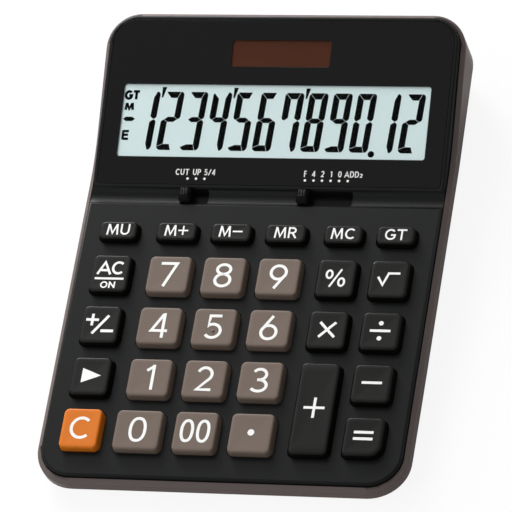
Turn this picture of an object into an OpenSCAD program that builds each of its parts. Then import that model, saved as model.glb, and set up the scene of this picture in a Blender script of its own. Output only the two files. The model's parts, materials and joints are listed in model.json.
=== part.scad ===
// Desk calculator: a wedge-shaped housing of two mouldings, 29 separate travelling keys on a
// rubber keypad, two slide switches, a tilted display block and the parts inside.
//
// Two frames are used. The deck frame has the key deck at z = 0 with +Y towards the display;
// on_desk() tilts it and stands it on its feet. The base, its feet and the battery bay are
// built in the desk frame, where z = 0 is the desk top.

/* [Body] */
// Width over the ridge of the rear case
body_w = 129; // [126:0.5:140]
// Length of the housing, measured along the key deck
body_l = 177.2; // [172:0.1:190]
// Height of the deck's front edge over the desk
front_h = 10.25; // [9.8:0.05:12]
// Tilt of the key deck to the desk, degrees
deck_tilt = 3.5; // [3:0.1:5]
// Tilt of the display panel to the key deck, degrees
panel_tilt = 11.3; // [10:0.1:13]
// Corner radius of the rear case at the front
front_r = 13.5; // [11:0.5:18]
// Corner radius of the rear case at the back
rear_r = 12; // [10:0.5:16]

/* [Rear case] */
// Drop from the deck to the ridge that runs round the rear case
ridge_drop = 2.3; // [2:0.1:3]
// Rise of the ledge from the ridge to the front case
ledge_rise = 1; // [0.6:0.1:1.4]
// Width of that ledge at the sides
ledge_side = 1.5; // [1.2:0.1:2]
// Width of that ledge at the front
ledge_front = 2.1; // [1.6:0.1:2.6]
// Height of the crease at which the upright wall ends, under the deck
crease_drop = 7.1; // [6.4:0.1:7.6]
// Inset of the base under the side walls
base_inset = 6; // [4:0.5:7]
// Inset of the base under the front wall
base_inset_front = 4; // [3:0.5:4.5]
// Floor thickness of the rear case
floor_t = 1.8; // [1.5:0.1:2]

/* [Front case] */
// Thickness of the deck and of the walls
wall_t = 2; // [1.6:0.1:2.2]
// Radius that rounds the upper edge of the front case
edge_r = 0.9; // [0.5:0.1:1.2]
// Running gap between the two cases
case_gap = 0.25; // [0.15:0.05:0.4]
// Distance from the memory keys to the cove under the display
cove_margin = 8.55; // [7.8:0.05:10]
// Width of the cove across the housing
cove_w = 6.7; // [6:0.1:7]
// Depth of the cove
cove_depth = 1.5; // [1.2:0.1:1.7]

/* [Display] */
// Height of the panel over the deck at the panel's lower edge
panel_rise = 0.5; // [0.3:0.1:1]
// Width of the lip between the cove and the panel
panel_lip = 1.1; // [0.9:0.1:1.6]
// Thickness of the acrylic panel
panel_t = 1.5; // [1:0.1:1.8]
// Radius of the panel's upper corners
panel_r = 8; // [5:0.5:9]
// Width of the frame round the panel
frame_w = 1.3; // [1:0.1:2]
// Height of the display window
window_h = 26; // [22:0.5:30]
// Lower edge of the display window above the panel's lower edge
window_up = 10; // [9:0.1:11]
// Band of the panel between the display window and the solar window
window_band = 7.2; // [6.8:0.1:9]
// Width of the solar window
solar_w = 35.3; // [30:0.1:44]
// Height of the solar window
solar_h = 9.7; // [8:0.1:11]
// Band of the panel behind the solar window
solar_band = 7.5; // [6:0.1:9]

/* [Keys] */
// Height of the key tops over the deck
key_h = 2.8; // [2:0.1:3.5]
// Travel of a key
key_travel = 1.5; // [1:0.1:1.6]
// Gap round a key in its opening
key_gap = 0.3; // [0.2:0.05:0.4]
// Slope of a key's flanks at each side
key_draft_x = 0.65; // [0.3:0.05:0.9]
// Slope of a key's flanks at the front and back
key_draft_y = 0.2; // [0.1:0.05:0.6]
// The same slope on the deeper keys of the front row
low_draft_y = 0.1; // [0.1:0.05:0.4]
// Rounding of a key's upper edge
key_edge = 0.75; // [0.5:0.05:0.9]
// Corner radius of a key top
key_r = 1.7; // [1:0.1:2.2]
// Front right corner radius of the equals key
equals_r = 4; // [2:0.5:5]
// Depth of a memory key top
memory_d = 6.5; // [5.5:0.1:8]
// How much deeper a front key is than a digit key
low_more = 0.6; // [0:0.1:1.2]
// Gap between the rows
row_gap = 5.9; // [5:0.05:7]
// Gap between the memory row and the row in front of it
memory_gap = 6.7; // [5:0.05:8]
// Bare deck beside the outer keys
side_margin = 8.9; // [8.5:0.05:11]
// Gap between the left column and the first digit column
left_gap = 7; // [5:0.05:8]
// Gap between the digit columns
digit_gap = 4.85; // [4.4:0.05:6]
// Gap between the last digit column and the next one
middle_gap = 6.45; // [5:0.05:8]
// Gap between the two right columns
right_gap = 5.25; // [4.4:0.05:6]
// How much narrower a function key is than a digit key
function_less = 1.4; // [0:0.1:3]
// How much wider the zero key is than a digit key
zero_more = 1.4; // [0:0.1:2]
// How much narrower a memory key in an outer column is than a function key
memory_less = 0.2; // [0:0.1:2]
// How much narrower a memory key in a digit column is than a digit key
memory_mid_less = 0.7; // [0:0.1:2]
// Distance from the front of the housing to the front keys
front_margin = 11.6; // [11:0.05:14]

/* [Switches] */
// Width of a switch knob over its slot
knob_w = 4.6; // [4:0.1:5]
// Width of a knob's stem in the slot
stem_w = 3.6; // [3:0.1:4]
// Width and depth of a knob's top
knob_top = 3.2; // [2.6:0.1:3.8]
// Depth of a switch slot
slot_d = 5.3; // [4.6:0.1:5.4]
// Height of a switch knob over the deck
knob_h = 1.7; // [1:0.1:2.5]
// Gap round a knob in its slot
knob_gap = 0.2; // [0.1:0.05:0.3]
// Shift of the slots behind the middle of the cove
slot_back = 0.35; // [0:0.05:0.4]
// Step between two switch places
switch_step = 3.05; // [2.8:0.05:3.1]
// Rest place of the rounding switch, from the middle
round_x = -28.5; // [-30:0.1:-28]
// Rest place of the decimal switch, from the middle
decimal_x = 13.4; // [13:0.1:14.5]
// Places of the rounding switch
round_places = 3; // [2:1:3]
// Places of the decimal switch
decimal_places = 6; // [4:1:6]

/* [Inside] */
// Thickness of the rubber keypad's sheet
rubber_t = 0.8; // [0.6:0.1:0.9]
// Thickness of the circuit board
board_t = 1.2; // [1:0.1:1.4]
// Thickness of the display cell
lcd_t = 2.2; // [1.8:0.1:2.8]
// Distance from the side of the housing to the display cell
lcd_side = 6.5; // [6.5:0.1:9]
// Reach of the display cell past its window, sideways
lcd_over_x = 3.2; // [2.5:0.1:5]
// Reach of the display cell past its window, in front and behind
lcd_over_y = 3.75; // [3:0.05:3.9]
// Width of the ribbon to the display cell
ribbon_w = 60; // [40:1:80]
// Diameter of the button cell
cell_d = 11.6; // [11.4:0.1:11.8]
// Thickness of the button cell
cell_t = 5.4; // [5.2:0.1:5.6]
// Shank diameter of the case screws
case_screw_d = 2.5; // [2:0.1:2.7]
// Shank diameter of the board screws
board_screw_d = 1.6; // [1.4:0.1:1.8]

/* [Base] */
// Height of the feet under the base
foot_h = 1; // [0.6:0.1:1.6]
// Diameter of the feet
foot_d = 10; // [8:0.5:12]
// Distance of the feet from the sides of the housing
foot_side = 16.5; // [14.5:0.5:18.5]
// Distance of the front feet from the front of the housing
foot_front = 19; // [17:0.5:22]
// Distance of the back feet from the back of the housing
foot_rear = 22; // [19:0.5:28]

/* [Hidden] */
BLACK = "#262728";
TAUPE = "#6b615f";
KEY_TAUPE = "#7a6d67";
KEY_BLACK = "#33332f";
ORANGE = "#de7f2c";
STEEL = "#b9bcc0";
BOARD_GREEN = "#3f6b46";
RUBBER = "#8b8d8f";

CORNER_STEPS = 12;
KEY_CORNER_STEPS = 5;
EDGE_STEPS = 4;
HAIR = 0.05;
FIT = 0.05;

// Keys: name, column, row, form. Rows count from the memory row to the front row.
DIGIT = 0;
FUNCTION = 1;
MEMORY = 2;
MEMORY_MID = 3;
TALL = 4;
LOW = 5;
LOW_ZERO = 6;
LOW_FUNCTION = 7;
EQUALS = 8;
KEYS = [
    ["key_mu", 0, 0, MEMORY], ["key_m_plus", 1, 0, MEMORY_MID], ["key_m_minus", 2, 0, MEMORY_MID],
    ["key_mr", 3, 0, MEMORY_MID], ["key_mc", 4, 0, MEMORY], ["key_gt", 5, 0, MEMORY],
    ["key_ac", 0, 1, FUNCTION], ["key_7", 1, 1, DIGIT], ["key_8", 2, 1, DIGIT],
    ["key_9", 3, 1, DIGIT], ["key_percent", 4, 1, FUNCTION], ["key_root", 5, 1, FUNCTION],
    ["key_sign", 0, 2, FUNCTION], ["key_4", 1, 2, DIGIT], ["key_5", 2, 2, DIGIT],
    ["key_6", 3, 2, DIGIT], ["key_multiply", 4, 2, FUNCTION], ["key_divide", 5, 2, FUNCTION],
    ["key_right_shift", 0, 3, FUNCTION], ["key_1", 1, 3, DIGIT], ["key_2", 2, 3, DIGIT],
    ["key_3", 3, 3, DIGIT], ["key_plus", 4, 3.5, TALL], ["key_minus", 5, 3, FUNCTION],
    ["key_c", 0, 4, LOW_FUNCTION], ["key_0", 1, 4, LOW_ZERO], ["key_00", 2, 4, LOW],
    ["key_point", 3, 4, LOW], ["key_equals", 5, 4, EQUALS]
];

// Display block: its length is that of the windows and bands, and its back edge is the housing's
wall_draft = 0.1;
body_side = ledge_side + case_gap;
body_front = ledge_front + case_gap;
body_rear = ledge_side + case_gap;
panel_end = window_up + window_h + window_band + solar_h + solar_band;
panel_y = body_l / 2 - body_rear - frame_w - edge_r * 0.3 - panel_end * cos(panel_tilt);
cove_y = panel_y - panel_lip - cove_w;

// Key grid: the keys fill the width and the length that the margins and gaps leave
digit_w = (body_w - 2 * side_margin - left_gap - 2 * digit_gap - middle_gap - right_gap
           + 3 * function_less) / 6;
function_w = digit_w - function_less;
zero_w = digit_w + zero_more;
memory_w = function_w - memory_less;
memory_mid_w = digit_w - memory_mid_less;
outer_x = body_w / 2 - side_margin - function_w / 2;
left_pitch = (function_w + digit_w) / 2 + left_gap;
digit_pitch = digit_w + digit_gap;
right_pitch = function_w + right_gap;
column_x = [-outer_x, left_pitch - outer_x, left_pitch + digit_pitch - outer_x,
            left_pitch + 2 * digit_pitch - outer_x, outer_x - right_pitch, outer_x];
keys_front_y = front_margin - body_l / 2;
keys_rear_y = cove_y - cove_margin;
digit_d = (keys_rear_y - keys_front_y - memory_d - memory_gap - 3 * row_gap - low_more / 2) / 4;
low_d = digit_d + low_more;
row_pitch = digit_d + row_gap;
second_row_y = keys_rear_y - memory_d - memory_gap - digit_d / 2;
front_row_y = second_row_y - 3 * row_pitch;
function row_y(row) = row == 0 ? keys_rear_y - memory_d / 2 : second_row_y - (row - 1) * row_pitch;
flange_over = 0.5;
flange_t = 0.8;
key_wall = 1.1;
post_d = 4;
post_room = 3.4;
tall_d = digit_d + row_pitch + 0.2;
dot_y = -1.5;
dot_r = 0.65;
dot_rise = 0.3;

// Rear case: the ridge follows the deck, then bends up beside the display block
bend_y = panel_y + 11.3;
bend_half = 10;
bend_slope = 0.25;
function ridge_z(y) =
    y < bend_y - bend_half ? -ridge_drop :
    y > bend_y + bend_half ? -ridge_drop + bend_slope * (y - bend_y) :
    -ridge_drop + bend_slope * pow(y - bend_y + bend_half, 2) / (4 * bend_half);
seat_drop = 0.9;
ridge_round = 0.35;
ledge_rear = ledge_side;
shoulder = case_gap + wall_t;
crease_front_y = 18;
crease_front_rise = 1.8;
crease_rear_y = panel_y + 13.3;
crease_rear_slope = 0.065;
function crease_z(y) = -crease_drop
    + crease_front_rise * max(0, 1 - (y + body_l / 2) / crease_front_y)
    + crease_rear_slope * max(0, y - crease_rear_y);

// Front case: deck, and the plane of the display block that starts from it
panel_slope = tan(panel_tilt);
function plane_z(y) = panel_rise + panel_slope * (y - panel_y);
fold_y = panel_y - panel_rise / panel_slope;
function top_z(y) = max(0, plane_z(y));
// Places along the sides at which the rings of both cases have points
side_stations = [row_y(3), row_y(1), fold_y, bend_y - bend_half, bend_y - bend_half / 2, bend_y,
                 bend_y + bend_half / 2, bend_y + bend_half];

// Standing the deck frame on the desk
deck_z = front_h + body_l / 2 * sin(deck_tilt);
function base_z(y) = (foot_h - deck_z - y * sin(deck_tilt)) / cos(deck_tilt);
front_reach = body_l / 2 * cos(deck_tilt) - (ridge_drop + ridge_round) * sin(deck_tilt);
rear_reach = body_l / 2 * cos(deck_tilt) - crease_z(body_l / 2) * sin(deck_tilt);
deck_y = (front_reach - rear_reach) / 2;
module on_desk() { translate([0, deck_y, deck_z]) rotate([deck_tilt, 0, 0]) children(); }

// Panel frame: origin at the middle of the panel's lower edge, +Z out of the panel
module on_panel() { translate([0, panel_y, panel_rise]) rotate([panel_tilt, 0, 0]) children(); }
function panel_length(y) = (y - panel_y) / cos(panel_tilt);
recess_depth = panel_t + FIT;
web_t = 1.2;
solar_up = window_up + window_h + window_band;
lcd_w = body_w - 2 * lcd_side;
lcd_h = window_h + 2 * lcd_over_y;
window_w = lcd_w - 2 * lcd_over_x;
lcd_top = -recess_depth - web_t - FIT;
lcd_mid = window_up + window_h / 2;
solar_mid = solar_up + solar_h / 2;
solar_cell_t = 1.1;
solar_cell_over = 1.7;
solar_cell_under = lcd_top - solar_cell_t;
holder_t = 1.4;
holder_wall = 1.2;
holder_gap = 0.3;
holder_w = lcd_w + 2 * (holder_gap + holder_wall);
holder_h = lcd_h + 2 * (holder_gap + holder_wall);
ear_x = lcd_w / 2 - 8;
ear_d = 5;
ear_over = 2;
peg_d = 2;

// Stack under the deck
cove_floor_t = 1.6;
cove_bar_z = -cove_depth - cove_floor_t;
flange_top = -wall_t - HAIR;
flange_z = flange_top - flange_t;
board_top = flange_z - key_travel - rubber_t - 0.25;
rubber_top = board_top + rubber_t;
dome_gap = 0.05;
post_z = flange_z - 0.4;
dome_top = post_z - dome_gap;
board_bottom = board_top - board_t;
board_half_w = body_w / 2 - 7.5;
board_front_y = front_row_y - low_d / 2 - 0.5;
board_shoulder_y = cove_y - 1.9;
tongue_half_w = board_half_w - 10;
board_rear_y = panel_y + 4.8;
board_screw_head_t = 1;
board_screw_head_d = 3.2;
board_boss_d = 3.6;
function row_gap_y(row) = (row_y(row) + row_y(row + 1)) / 2;
left_gap_x = column_x[0] + (function_w + left_gap) / 2;
middle_gap_x = column_x[4] - (function_w + middle_gap) / 2;
board_screw_places = [
    [left_gap_x, row_gap_y(1)], [middle_gap_x, row_gap_y(1)],
    [left_gap_x, row_gap_y(3)], [middle_gap_x, row_gap_y(2)],
    [3 - tongue_half_w, board_shoulder_y - 1.8], [tongue_half_w - 3, board_shoulder_y - 1.8]
];

// Case screws come up from the base
case_boss_d = case_screw_d + 2.3;
case_post_d = case_screw_d + 4.3;
case_head_d = case_screw_d + 2.1;
case_head_t = 1.6;
case_well_d = case_head_d + 0.6;
case_seat_t = 2;
case_shank_l = 5.4;
case_screw_places = [for (p = [[24.5, 7.25 - body_l / 2], [10.1, cove_y + 1.6], [15.5, body_l / 2 - 11]],
                          side = [-1, 1]) [side * (body_w / 2 - p.x), p.y]];
function under_top_z(y) = y < cove_y - 2 ? -wall_t : y < panel_y + 1 ? cove_bar_z :
    plane_z(y) - (recess_depth + web_t) / cos(panel_tilt);
function meet_z(y) = y < 0 ? -wall_t - 2.9 : (under_top_z(y) + base_z(y) + floor_t) / 2;

// Switches
slot_mid_y = cove_y + cove_w / 2 + slot_back;
knob_d = slot_d - 2 * knob_gap;
plate_t = 1;
plate_top = cove_bar_z - HAIR;
plate_bottom = plate_top - plate_t;
plate_d = slot_d + 2.2;
plate_margin = 0.7;
round_travel = (round_places - 1) * switch_step;
decimal_travel = (decimal_places - 1) * switch_step;
rail_t = 0.8;
head_z = -0.3;
rib_t = 0.35;
rib_l = 2.3;
rib_h = 0.15;
brush_t = 0.25;

// Battery bay, in the desk frame
bay_x = body_w / 2 - 34.5;
bay_rim = 2;
cover_w = 20;
cover_l = 30;
cover_t = 1.5;
cover_gap = 0.15;
cell_gap = 0.3;
cell_shift = -5;
cell_z = foot_h + cover_t + 0.1;
contact_t = 0.3;
bay_roof = cell_z + cell_t + 2 * contact_t + 0.5;
bay_top = bay_roof + 1.2;
cover_screw_d = 2;
cover_screw_y = 9.5;
foot_recess = 0.8;
foot_x = body_w / 2 - foot_side;
foot_front_y = body_l / 2 - foot_front;
foot_rear_y = body_l / 2 - foot_rear;
// Place on the desk, and height over it, of a point of the board's underside
function board_desk_y(y) = deck_y + y * cos(deck_tilt) - board_bottom * sin(deck_tilt);
function board_desk_z(y) = deck_z + y * sin(deck_tilt) + board_bottom * cos(deck_tilt);
bay_y = board_desk_y(board_rear_y) + 15.9;

// ---------------------------------------------------------------- shared forms

// Right half of the housing's outline, from the front to the back, drawn in by three insets
function half_outline(side, front, rear) =
    let (w = body_w / 2 - side, y0 = front - body_l / 2, y1 = body_l / 2 - rear,
         rf = front_r - (side + front) / 2, rr = rear_r - (side + rear) / 2)
    concat(
        [for (i = [0:CORNER_STEPS]) let (a = 90 * i / CORNER_STEPS - 90)
            [w - rf + rf * cos(a), y0 + rf + rf * sin(a)]],
        [for (y = side_stations) [w, y]],
        [for (i = [0:CORNER_STEPS]) let (a = 90 * i / CORNER_STEPS)
            [w - rr + rr * cos(a), y1 - rr + rr * sin(a)]]);

// Closed ring round the housing at heights given by a function of y
function ring(side, front, rear, height) =
    let (half = half_outline(side, front, rear), n = len(half))
    concat([for (p = half) [p.x, p.y, height(p.y)]],
           [for (i = [n - 1:-1:0]) [-half[i].x, half[i].y, height(half[i].y)]]);

// Solid through a list of rings, closed by strips across its first and last ring
module loft(rings) {
    m = len(rings[0]);
    half = m / 2;
    points = [for (r = rings) each r];
    last = (len(rings) - 1) * m;
    walls = [for (k = [0:len(rings) - 2], i = [0:m - 1])
        let (a = k * m + i, b = k * m + (i + 1) % m)
        each [[a, a + m, b + m], [a, b + m, b]]];
    bottom = [for (i = [0:half - 2])
        each [[i, i + 1, m - 2 - i], [i, m - 2 - i, m - 1 - i]]];
    top = [for (i = [0:half - 2])
        each [[last + m - 1 - i, last + m - 2 - i, last + i + 1],
              [last + m - 1 - i, last + i + 1, last + i]]];
    polyhedron(points, concat(bottom, walls, top), convexity = 8);
}

// Rectangle with four corner radii: front left, front right, back right, back left
function rounded(w, d, r, steps = KEY_CORNER_STEPS) =
    let (centres = [[-1, -1], [1, -1], [1, 1], [-1, 1]])
    [for (c = [0:3], i = [0:steps])
        let (a = 180 + 90 * c + 90 * i / steps, m = centres[c])
        [m.x * (w / 2 - r[c]) + r[c] * cos(a), m.y * (d / 2 - r[c]) + r[c] * sin(a)]];
function even(r) = [r, r, r, r];
module plate(w, d, r, t) { linear_extrude(t) polygon(rounded(w, d, even(r))); }

// Round wire along a list of points, with slightly fuller ball elbows
module wire(points, d) {
    for (i = [0:len(points) - 2]) {
        run = points[i + 1] - points[i];
        long = norm(run);
        translate(points[i])
            rotate([0, acos(run.z / long), atan2(run.y, run.x)])
                cylinder(h = long, d = d, $fn = 24);
    }
    for (i = [1:len(points) - 2]) translate(points[i]) sphere(d = d * 1.1, $fn = 24);
}

// ---------------------------------------------------------------- keys

function key_place(k) = [column_x[k[1]] + key_shift(k[3]), row_y(k[2])];
function key_shift(form) = form == LOW_ZERO ? (digit_w - zero_w) / 2 : 0;
function key_size(form) =
    form == FUNCTION ? [function_w, digit_d] :
    form == EQUALS ? [function_w, digit_d] :
    form == MEMORY ? [memory_w, memory_d] :
    form == MEMORY_MID ? [memory_mid_w, memory_d] :
    form == TALL ? [function_w, tall_d] :
    form == LOW ? [digit_w, low_d] :
    form == LOW_ZERO ? [zero_w, low_d] :
    form == LOW_FUNCTION ? [function_w, low_d] : [digit_w, digit_d];
function key_corners(form) = form == EQUALS ? [key_r, equals_r, key_r, key_r] : even(key_r);
function key_flare(form) =
    form == LOW || form == LOW_ZERO || form == LOW_FUNCTION ? low_draft_y : key_draft_y;

// Outline of a key at a given widening of its top
module key_outline(form, out_x, out_y) {
    size = key_size(form);
    corners = [for (r = key_corners(form)) r + (out_x + out_y) / 2];
    polygon(rounded(size.x + 2 * out_x, size.y + 2 * out_y, corners));
}

module key_skin(form) {
    e = key_edge;
    hull() {
        linear_extrude(HAIR) key_outline(form, key_draft_x, key_flare(form));
        translate([0, 0, key_h - e]) linear_extrude(HAIR) key_outline(form, e * 0.16, e * 0.13);
        translate([0, 0, key_h - e * 0.3 - HAIR]) linear_extrude(HAIR)
            key_outline(form, -e * 0.27, -e * 0.27);
        translate([0, 0, key_h - HAIR]) linear_extrude(HAIR) key_outline(form, -e, -e);
    }
}

module key_cap(name) {
    k = [for (entry = KEYS) if (entry[0] == name) entry][0];
    form = k[3];
    place = key_place(k);
    out_x = key_draft_x;
    out_y = key_flare(form);
    hollow = -key_wall - 0.4;
    posts = form == TALL ? [-row_pitch / 2, row_pitch / 2] : [0];
    on_desk() translate([place.x, place.y, 0]) {
        difference() {
            union() {
                key_skin(form);
                translate([0, 0, flange_z]) linear_extrude(HAIR - flange_z) key_outline(form, out_x, out_y);
                translate([0, 0, flange_z]) linear_extrude(flange_t)
                    key_outline(form, out_x + key_gap + flange_over, out_y + key_gap + flange_over);
            }
            translate([0, 0, flange_z - 1]) linear_extrude(key_h - key_wall - flange_z + 1)
                key_outline(form, hollow, hollow);
        }
        for (y = posts) translate([0, y, post_z])
            cylinder(h = key_h - key_wall - post_z + HAIR, d = min(post_d, key_size(form).y - post_room),
                     $fn = 32);
        if (name == "key_5") dot_bump();
    }
}

// Raised dot that marks the middle digit key for the finger
module dot_bump() {
    translate([0, dot_y, key_h + dot_rise - dot_r]) sphere(r = dot_r, $fn = 32);
}

module key_mu() { color(KEY_BLACK) key_cap("key_mu"); }
module key_m_plus() { color(KEY_BLACK) key_cap("key_m_plus"); }
module key_m_minus() { color(KEY_BLACK) key_cap("key_m_minus"); }
module key_mr() { color(KEY_BLACK) key_cap("key_mr"); }
module key_mc() { color(KEY_BLACK) key_cap("key_mc"); }
module key_gt() { color(KEY_BLACK) key_cap("key_gt"); }
module key_ac() { color(KEY_BLACK) key_cap("key_ac"); }
module key_7() { color(KEY_TAUPE) key_cap("key_7"); }
module key_8() { color(KEY_TAUPE) key_cap("key_8"); }
module key_9() { color(KEY_TAUPE) key_cap("key_9"); }
module key_percent() { color(KEY_BLACK) key_cap("key_percent"); }
module key_root() { color(KEY_BLACK) key_cap("key_root"); }
module key_sign() { color(KEY_BLACK) key_cap("key_sign"); }
module key_4() { color(KEY_TAUPE) key_cap("key_4"); }
module key_5() { color(KEY_TAUPE) key_cap("key_5"); }
module key_6() { color(KEY_TAUPE) key_cap("key_6"); }
module key_multiply() { color(KEY_BLACK) key_cap("key_multiply"); }
module key_divide() { color(KEY_BLACK) key_cap("key_divide"); }
module key_right_shift() { color(KEY_BLACK) key_cap("key_right_shift"); }
module key_1() { color(KEY_TAUPE) key_cap("key_1"); }
module key_2() { color(KEY_TAUPE) key_cap("key_2"); }
module key_3() { color(KEY_TAUPE) key_cap("key_3"); }
module key_plus() { color(KEY_BLACK) key_cap("key_plus"); }
module key_minus() { color(KEY_BLACK) key_cap("key_minus"); }
module key_c() { color(ORANGE) key_cap("key_c"); }
module key_0() { color(KEY_TAUPE) key_cap("key_0"); }
module key_00() { color(KEY_TAUPE) key_cap("key_00"); }
module key_point() { color(KEY_TAUPE) key_cap("key_point"); }
module key_equals() { color(KEY_BLACK) key_cap("key_equals"); }

// ---------------------------------------------------------------- front case

module front_outer() {
    e = edge_r;
    loft(concat(
        [ring(body_side, body_front, body_rear, function (y) ridge_z(y) - seat_drop + FIT)],
        [for (i = [0:EDGE_STEPS]) let (a = 90 * i / EDGE_STEPS, draw = wall_draft + e * (1 - cos(a)))
            ring(body_side + draw, body_front + draw, body_rear + draw,
                 function (y) top_z(y) - e * (1 - sin(a)))]));
}

// Hollow under the deck and under the panel's web
module front_hollow() {
    t = wall_t;
    loft([
        ring(body_side + t, body_front + t, body_rear + t, function (y) ridge_z(y) - 3 * seat_drop),
        ring(body_side + t, body_front + t, body_rear + t,
             function (y) y < fold_y + 0.5 ? -t : plane_z(y) - (recess_depth + web_t) / cos(panel_tilt))
    ]);
}

// Plate under the cove that carries the switch slots
module cove_bar() {
    intersection() {
        front_outer();
        translate([-body_w / 2, cove_y - 1.8, cove_bar_z])
            cube([body_w, panel_y + 0.8 - cove_y + 1.8, -cove_bar_z]);
    }
}

module cove_cut() {
    r = (cove_w * cove_w / 4 + cove_depth * cove_depth) / (2 * cove_depth);
    translate([-body_w / 2, cove_y + cove_w / 2, r - cove_depth]) rotate([0, 90, 0])
        cylinder(h = body_w, r = r, $fn = 96);
}

module switch_slot(x, travel) {
    long = travel + stem_w + 2 * knob_gap;
    translate([x - stem_w / 2 - knob_gap + long / 2, slot_mid_y, cove_bar_z - 1])
        plate(long, slot_d, 0.7, 2 - cove_bar_z);
}

// Outline of the panel, or of its recess, drawn in by an inset
module panel_outline(inset) {
    w = body_w / 2 - body_side - frame_w - edge_r * 0.3 - inset;
    top = panel_end - inset;
    r_low = 1.5 - inset;
    r_top = panel_r - inset;
    corner = function (x, y, r, start, steps)
        [for (i = [0:steps]) let (a = start + 90 * i / steps) [x + r * cos(a), y + r * sin(a)]];
    polygon(concat(corner(r_low - w, inset + r_low, r_low, 180, 4), corner(w - r_low, inset + r_low, r_low, 270, 4),
                   corner(w - r_top, top - r_top, r_top, 0, 12), corner(r_top - w, top - r_top, r_top, 90, 12)));
}

module window(w, h, mid, over, z, t) {
    translate([0, mid, z]) plate(w + 2 * over, h + 2 * over, 1, t);
}

ear_rows = [lcd_mid - holder_h / 2 - ear_over, lcd_mid + holder_h / 2 + ear_over];
holder_under = lcd_top - lcd_t - FIT - holder_t;

module front_case() {
    color(BLACK) on_desk() difference() {
        union() {
            difference() {
                front_outer();
                front_hollow();
            }
            cove_bar();
            // Bosses for the case screws
            for (p = case_screw_places) translate([p.x, p.y, meet_z(p.y)])
                cylinder(h = under_top_z(p.y) - meet_z(p.y) + 0.6, d = case_boss_d, $fn = 32);
            // Bosses for the board screws
            for (p = board_screw_places) translate([p.x, p.y, board_top + HAIR])
                cylinder(h = -wall_t - board_top + 0.4, d = board_boss_d, $fn = 32);
            // Rails for the slider plates
            for (y = [slot_mid_y - plate_d / 2 - knob_gap - rail_t, slot_mid_y + plate_d / 2 + knob_gap])
                translate([round_x - round_travel - 8, y, plate_bottom])
                    cube([decimal_x + 2 * decimal_travel + 8 - round_x + round_travel, rail_t,
                          cove_bar_z + HAIR - plate_bottom]);
            // Pegs for the display holder
            on_panel() for (x = [-ear_x, ear_x], y = ear_rows) translate([x, y, holder_under])
                cylinder(h = -recess_depth - web_t + 0.4 - holder_under, d = peg_d, $fn = 32);
        }
        cove_cut();
        for (k = KEYS) {
            place = key_place(k);
            translate([place.x, place.y, -wall_t - 1]) linear_extrude(wall_t + 2)
                key_outline(k[3], key_draft_x + key_gap, key_flare(k[3]) + key_gap);
        }
        switch_slot(round_x, round_travel);
        switch_slot(decimal_x, decimal_travel);
        on_panel() {
            translate([0, 0, -recess_depth]) linear_extrude(recess_depth + 2) panel_outline(0);
            window(window_w, window_h, lcd_mid, 0.7, lcd_top - 1, 3);
            window(solar_w, solar_h, solar_mid, 0.5, lcd_top - 1, 3);
        }
        for (p = case_screw_places) translate([p.x, p.y, meet_z(p.y) - 1])
            cylinder(h = case_shank_l - case_seat_t + 1.2, d = case_screw_d + 2 * FIT, $fn = 32);
        for (p = board_screw_places) translate([p.x, p.y, board_top - 1])
            cylinder(h = 3.6, d = board_screw_d + 2 * FIT, $fn = 32);
    }
}

// ---------------------------------------------------------------- rear case

function between(low, high, share) = low + (high - low) * share;

module rear_shell() {
    low_share = 0.22;
    foot_share = 0.78;
    base_round = 0.9;
    inner_front = ledge_front + shoulder;
    inner_side = ledge_side + shoulder;
    loft([
        ring(base_inset, base_inset_front, base_inset, function (y) base_z(y)),
        ring(base_inset * foot_share, base_inset_front * foot_share, base_inset * foot_share,
             function (y) base_z(y) + base_round),
        ring(base_inset * low_share, base_inset_front * low_share, base_inset * low_share,
             function (y) between(crease_z(y), base_z(y), 0.2)),
        ring(0, 0, 0, function (y) crease_z(y)),
        ring(0, 0, 0, function (y) ridge_z(y) - ridge_round),
        ring(ridge_round * 0.2, ridge_round * 0.2, ridge_round * 0.2,
             function (y) ridge_z(y) - ridge_round * 0.35),
        ring(ridge_round * 0.7, ridge_round * 0.85, ridge_round * 0.7, function (y) ridge_z(y)),
        ring(ledge_side, ledge_front, ledge_rear, function (y) ridge_z(y) + ledge_rise),
        ring(ledge_side, ledge_front, ledge_rear, function (y) ridge_z(y) - seat_drop),
        ring(inner_side, inner_front, inner_side, function (y) ridge_z(y) - seat_drop),
        ring(inner_side, inner_front, inner_side, function (y) ridge_z(y) - seat_drop - 0.8),
        ring(wall_t + 0.1, wall_t + 0.1, wall_t + 0.1, function (y) crease_z(y) + 0.3),
        ring(base_inset * foot_share + wall_t, base_inset_front * foot_share + wall_t,
             base_inset * foot_share + wall_t, function (y) base_z(y) + base_round + floor_t),
        ring(base_inset + wall_t, base_inset_front + wall_t, base_inset + wall_t,
             function (y) base_z(y) + floor_t)
    ]);
}

// Battery bay on the floor: frame for the cover, pot for the cell, contact chimneys, screw boss
module bay_body() {
    pot_d = cell_d + 2 * cell_gap + 2.4;
    plate(cover_w + 2 * bay_rim, cover_l + 2 * bay_rim, 1.5, cover_t + 1.2);
    translate([0, cell_shift, 0]) cylinder(h = bay_top - foot_h, d = pot_d, $fn = 64);
    translate([0, cell_shift, 0]) plate(7.4, pot_d + 2.6, 0.8, bay_top - foot_h);
    translate([0, cover_screw_y, 0]) cylinder(h = bay_roof - foot_h, d = cover_screw_d + 3, $fn = 32);
}

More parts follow.
